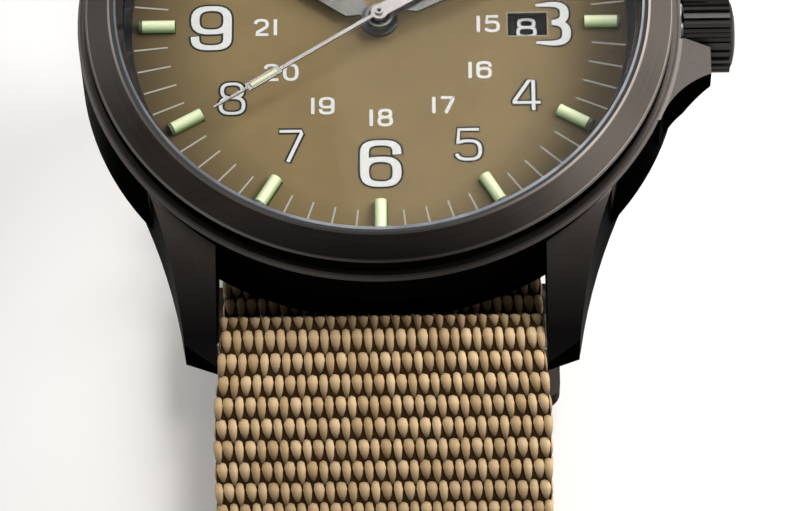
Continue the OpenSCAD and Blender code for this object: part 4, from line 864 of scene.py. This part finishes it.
# a point at each degree of a turn, with headings that run on past a full circle
def centreLine():
    y, z, heading = [strap["foldStart"][0]], [strap["foldStart"][1]], [180.0]
    for turn in turns.values():
        before, after = turn[3:]
        full = 360 * round((heading[-1] - before) / 360)
        count = max(strap["turnPoints"], int(abs(after - before)))
        for i in range(count + 1):
            h = before + (after - before) * i / count
            place = onTurn(turn, h)
            y.append(place[0])
            z.append(place[1])
            heading.append(h + full)
    run = np.concatenate([[0.0], np.cumsum(np.hypot(np.diff(y), np.diff(z)))])
    return run, np.array(y), np.array(z), np.array(heading)


lineRun, lineY, lineZ, lineHeading = centreLine()
strapLength = float(lineRun[-1])


# how far along the strap a heading on one of its turns lies
def along(name, heading):
    y, z = onTurn(turns[name], heading)
    return float(lineRun[int(np.argmin(np.hypot(lineY - y, lineZ - z)))])


# the middles of the turns round the spring bars
barTwelve, barSix = along("barTwelve", 214), along("barSix", 146)
holes = [along(*place) for place in strap["holes"]]
slotSpan = (along("buckleBar", 215) - strap["slotEnds"][0], along("buckleBar", 0) + strap["slotEnds"][1])
tailStart = strapLength - strap["half"]
# how free the strap is at its sides, as (place along it, share)
freeRun = [
    (along("wristTwelve", 100), 0), (along("riseTwelve", 135), 1), (barTwelve - 2, 1), (barTwelve + 1, 0),
    (barSix + 1, 0), (barSix + 7, 1), (along("wristSix", 270), 1), (along("wristSix", 330), 0)]


# how much wider the strap lies at a place along it: it swells where nothing holds its sides
def swell(run):
    free = np.interp(run, *zip(*freeRun))
    return 1 + strap["swell"] * free * free * (3 - 2 * free)


# flat strap space (across, along, off the face) to the watch's own space
def wrapPoints(points):
    run = points[:, 1]
    y, z = np.interp(run, lineRun, lineY), np.interp(run, lineRun, lineZ)
    h = np.radians(np.interp(run, lineRun, lineHeading))
    across = points[:, 0] * swell(run)
    return np.stack([across, y - np.sin(h) * points[:, 2], z + np.cos(h) * points[:, 2]], axis=1)


def setPoints(mesh, flat):
    mesh.vertices.foreach_set("co", (wrapPoints(flat) * mm).astype(np.float32).ravel())
    mesh.update()


def readPoints(mesh):
    flat = np.empty(len(mesh.vertices) * 3, np.float32)
    mesh.vertices.foreach_get("co", flat)
    return flat.reshape(-1, 3)


# the core as a flat strip with a round tail
def flatCore():
    bm = bmesh.new()
    rows = int(strapLength / strap["coreRow"])
    bmesh.ops.create_grid(bm, x_segments=strap["coreColumns"], y_segments=rows, size=0.5)
    bmesh.ops.scale(bm, vec=(2 * strap["coreHalf"], strapLength, 1), verts=bm.verts)
    bmesh.ops.translate(bm, vec=(0, strapLength / 2, -strap["core"]), verts=bm.verts)
    for vert in bm.verts:
        over = (vert.co.y - tailStart) / strap["half"]
        if over > 0:
            vert.co.x *= math.sqrt(max(strap["tailLeast"], 1 - over * over))
    thicken(bm, bm.faces[:], 2 * strap["core"])
    bmesh.ops.recalc_face_normals(bm, faces=bm.faces)
    return meshFrom(bm, "strap_core_flat")


# what is cut out of the core: round holes, and a slot for the tongue
def coreCutters():
    cut = bmesh.new()
    for place in holes:
        bmesh.ops.create_cone(cut, cap_ends=True, segments=strap["cutSides"], radius1=strap["hole"],
                              radius2=strap["hole"], depth=strap["cutDepth"],
                              matrix=Matrix.Translation((0, place, 0)))
    middle, size = (slotSpan[0] + slotSpan[1]) / 2, slotSpan[1] - slotSpan[0]
    bmesh.ops.create_cube(cut, size=1, matrix=Matrix.Translation((0, middle, 0)) @ Matrix.Diagonal(
        (2 * strap["slotHalf"], size, strap["cutDepth"], 1)))
    return meshFrom(cut, "strap_cutters")


# the dense inner band that carries the floats, cut for the tongue and the holes while still flat
def strapCore():
    band = bpy.data.objects.new("strap_core_flat", flatCore())
    cutter = bpy.data.objects.new("strap_cutters", coreCutters())
    for thing in (band, cutter):
        scene.collection.objects.link(thing)
    boolean = band.modifiers.new("holes", "BOOLEAN")
    boolean.object = cutter
    boolean.operation = "DIFFERENCE"
    boolean.solver = "EXACT"
    bpy.context.view_layer.update()
    mesh = bpy.data.meshes.new_from_object(band.evaluated_get(bpy.context.evaluated_depsgraph_get()))
    mesh.name = "strap_core"
    for thing in (band, cutter):
        data = thing.data
        bpy.data.objects.remove(thing)
        bpy.data.meshes.remove(data)
    setPoints(mesh, readPoints(mesh))
    smoothMesh(mesh, strap["sharp"])
    mesh.materials.clear()
    addPiece("strap_core", mesh, "core", "watch", ("strap",))


strapCore()

# one float of yarn is a rounded spindle lying along y, with a flatter underside
# taper is how full it is from its upper end to its lower one, as (place, share of the spindle's width)
floats = {
    "sides": 6, "rings": 5, "block": 24, "under": 0.35,
    "taper": [(-1.0, 1.0), (-0.81, 1.4), (-0.31, 1.1), (0.31, 0.85), (0.81, 0.62), (1.0, 1.0)]}


def spindle():
    bm = bmesh.new()
    bmesh.ops.create_uvsphere(bm, u_segments=floats["sides"], v_segments=floats["rings"], radius=1)
    lying = Matrix.Rotation(math.radians(90), 3, "X")
    bmesh.ops.rotate(bm, cent=(0, 0, 0), matrix=lying, verts=bm.verts)
    return meshFrom(bm, "float_single")


def copies(mesh, count, name):
    bm = bmesh.new()
    for i in range(count):
        bm.from_mesh(mesh)
    return meshFrom(bm, name)


floatSingle = spindle()
floatBlock = copies(floatSingle, floats["block"], "float_block")


# floats at rows of (across, along, off, half width, half length, rise, lean, roll, tone)
def floatPiece(name, places, paint):
    bm = bmesh.new()
    for i in range(len(places) // floats["block"]):
        bm.from_mesh(floatBlock)
    for i in range(len(places) % floats["block"]):
        bm.from_mesh(floatSingle)
    mesh = meshFrom(bm, name)
    unit = readPoints(floatSingle).reshape(1, -1, 3)
    u, v, w = unit[..., 0], unit[..., 1], unit[..., 2]
    each = np.array(places, np.float64)[:, None, :]
    x, run, off, halfWide, halfLong, rise, lean, roll, tone = np.moveaxis(each, 2, 0)
    across = u * halfWide * np.interp(v, *zip(*floats["taper"]))
    height = w * np.where(w < 0, floats["under"], 1.0) * np.abs(rise)
    flat = np.stack([
        x + across * np.cos(roll) + height * np.sin(roll) + v * lean,
        run + v * halfLong,
        off + np.sign(rise) * (height * np.cos(roll) - across * np.sin(roll))], axis=2).reshape(-1, 3)
    setPoints(mesh, flat)
    shape = (len(places), unit.shape[1])
    yarn = np.stack([np.broadcast_to(part, shape) for part in (u, v, tone)], axis=2)
    attribute = mesh.attributes.new("yarn", "FLOAT_VECTOR", "POINT")
    attribute.data.foreach_set("vector", yarn.astype(np.float32).ravel())
    turned = bmesh.new()
    turned.from_mesh(mesh)
    bmesh.ops.recalc_face_normals(turned, faces=turned.faces)
    turned.to_mesh(mesh)
    turned.free()
    smoothMesh(mesh, 180)
    addPiece(name, mesh, paint, "watch", ())


# a share that looks random and is the same in each run
def chance(a, b):
    return math.sin(a * 127.1 + b * 311.7) * 43758.5453 % 1.0


# long and short floats alternate; shift moves a kind along the strap, drift is how far chance moves one
# inset keeps floats inside the sides and the round tail, holeGap and slotGap round what is cut out
weaving = {
    "columns": 30, "row": 1.45, "stagger": 0.225, "lean": 0.06, "drift": (0.03, 0.05),
    "long": {"halfWide": 0.32, "halfLong": 0.9, "rise": 0.26, "shift": 0.06},
    "short": {"halfWide": 0.39, "halfLong": 0.74, "rise": 0.2132, "shift": -0.05},
    "inset": 0.3, "tailInset": 0.25, "tailAhead": 0.3, "holeGap": 0.5, "slotGap": (0.3, 0.5),
    "edge": {"inset": 0.06, "halfWide": 0.42, "halfLong": 0.78, "rise": 0.2}, "pieces": 3}


# how far from the middle line the strap reaches, with its round tail
def reachAt(run):
    over = max(0.0, (run + weaving["tailAhead"] - tailStart) / strap["half"])
    return strap["half"] * math.sqrt(max(0.0, 1 - over * over))


def cutAway(x, run):
    if any(math.hypot(x, run - place) < strap["hole"] + weaving["holeGap"] for place in holes):
        return True
    sideGap, endGap = weaving["slotGap"]
    return abs(x) < strap["slotHalf"] + sideGap and slotSpan[0] - endGap < run < slotSpan[1] + endGap


def weave(side):
    pitch = 2 * strap["half"] / weaving["columns"]
    limit = strap["half"] - weaving["inset"]
    driftAcross, driftAlong = weaving["drift"]
    places = []
    for row in range(int(strapLength / weaving["row"])):
        middle = (row + 0.5) * weaving["row"]
        stagger = weaving["stagger"] if row % 2 else -weaving["stagger"]
        for column in range(weaving["columns"]):
            x = (column + 0.5 + stagger) * pitch - strap["half"]
            x = max(-limit, min(limit, x))
            if abs(x) > reachAt(middle) - weaving["tailInset"] or cutAway(x, middle):
                continue
            kind = weaving["short" if (row + column) % 2 else "long"]
            jitter = chance(row, column + 50 * side)
            places.append((
                x + driftAcross * (jitter - 0.5),
                middle + kind["shift"] + driftAlong * (chance(column, row) - 0.5),
                side * strap["face"], kind["halfWide"], kind["halfLong"], side * kind["rise"],
                -side * weaving["lean"], 0.0, jitter))
    return places


# floats along both sides, lying on their backs
def edgeFloats():
    edge = weaving["edge"]
    places = []
    for row in range(int(tailStart / weaving["row"])):
        middle = (row + 0.5) * weaving["row"]
        for sign in (-1, 1):
            places.append((
                sign * (strap["coreHalf"] - edge["inset"]), middle, 0.0, edge["halfWide"], edge["halfLong"],
                edge["rise"], 0.0, sign * math.pi / 2, chance(row, sign + 7)))
    return places


for side, sideName in ((-1, "outer"), (1, "inner")):
    spots = weave(side)
    share = len(spots) // weaving["pieces"] + 1
    for part in range(weaving["pieces"]):
        floatPiece("strap_weave_%s_%d" % (sideName, part + 1), spots[part * share:(part + 1) * share], "yarn")
floatPiece("strap_weave_edges", edgeFloats(), "yarn")

# sealed rims round the holes on both faces
rims = {"tube": 0.13, "flat": 1.6, "out": 0.16, "proud": 0.08, "sides": 8, "steps": 32}


def holeRims():
    bm = bmesh.new()
    for place in holes:
        for side in (-1, 1):
            middle = Vector((strap["hole"] + rims["out"], place, side * (strap["core"] + rims["proud"])))
            angles = [math.tau * i / rims["sides"] for i in range(rims["sides"])]
            profile = [middle + Vector((math.cos(a) * rims["flat"], 0, math.sin(a))) * rims["tube"]
                       for a in angles]
            lathe(bm, profile, rims["steps"], (0, place, 0))
    bmesh.ops.recalc_face_normals(bm, faces=bm.faces)
    mesh = meshFrom(bm, "strap_hole_rims")
    setPoints(mesh, readPoints(mesh))
    smoothMesh(mesh, 180)
    addPiece("strap_hole_rims", mesh, "core", "watch", ())


holeRims()

# rows of stitches that hold the fold to the strap, at these distances along y
stitching = {
    "rows": (8.9, 9.5, 14.0, 14.5), "each": 6, "pitch": 1.55, "proud": 0.12, "halfWide": 0.62,
    "halfLong": 0.17, "rise": 0.2}


def stitches():
    straight = [turns["buckleBar"][0], turns["wristTwelve"][0]]
    runs = [along("buckleBar", 0), along("wristTwelve", 0)]
    off = strap["face"] + stitching["proud"]
    places = []
    for y in stitching["rows"]:
        main = float(np.interp(y, straight, runs))
        fold = strap["foldStart"][0] - y
        for column in range(-stitching["each"], stitching["each"] + 1):
            for spot in (main, fold):
                places.append((
                    column * stitching["pitch"], spot, off, stitching["halfWide"], stitching["halfLong"],
                    stitching["rise"], 0.0, 0.0, chance(column, y)))
    return places


floatPiece("strap_stitches", stitches(), "thread")
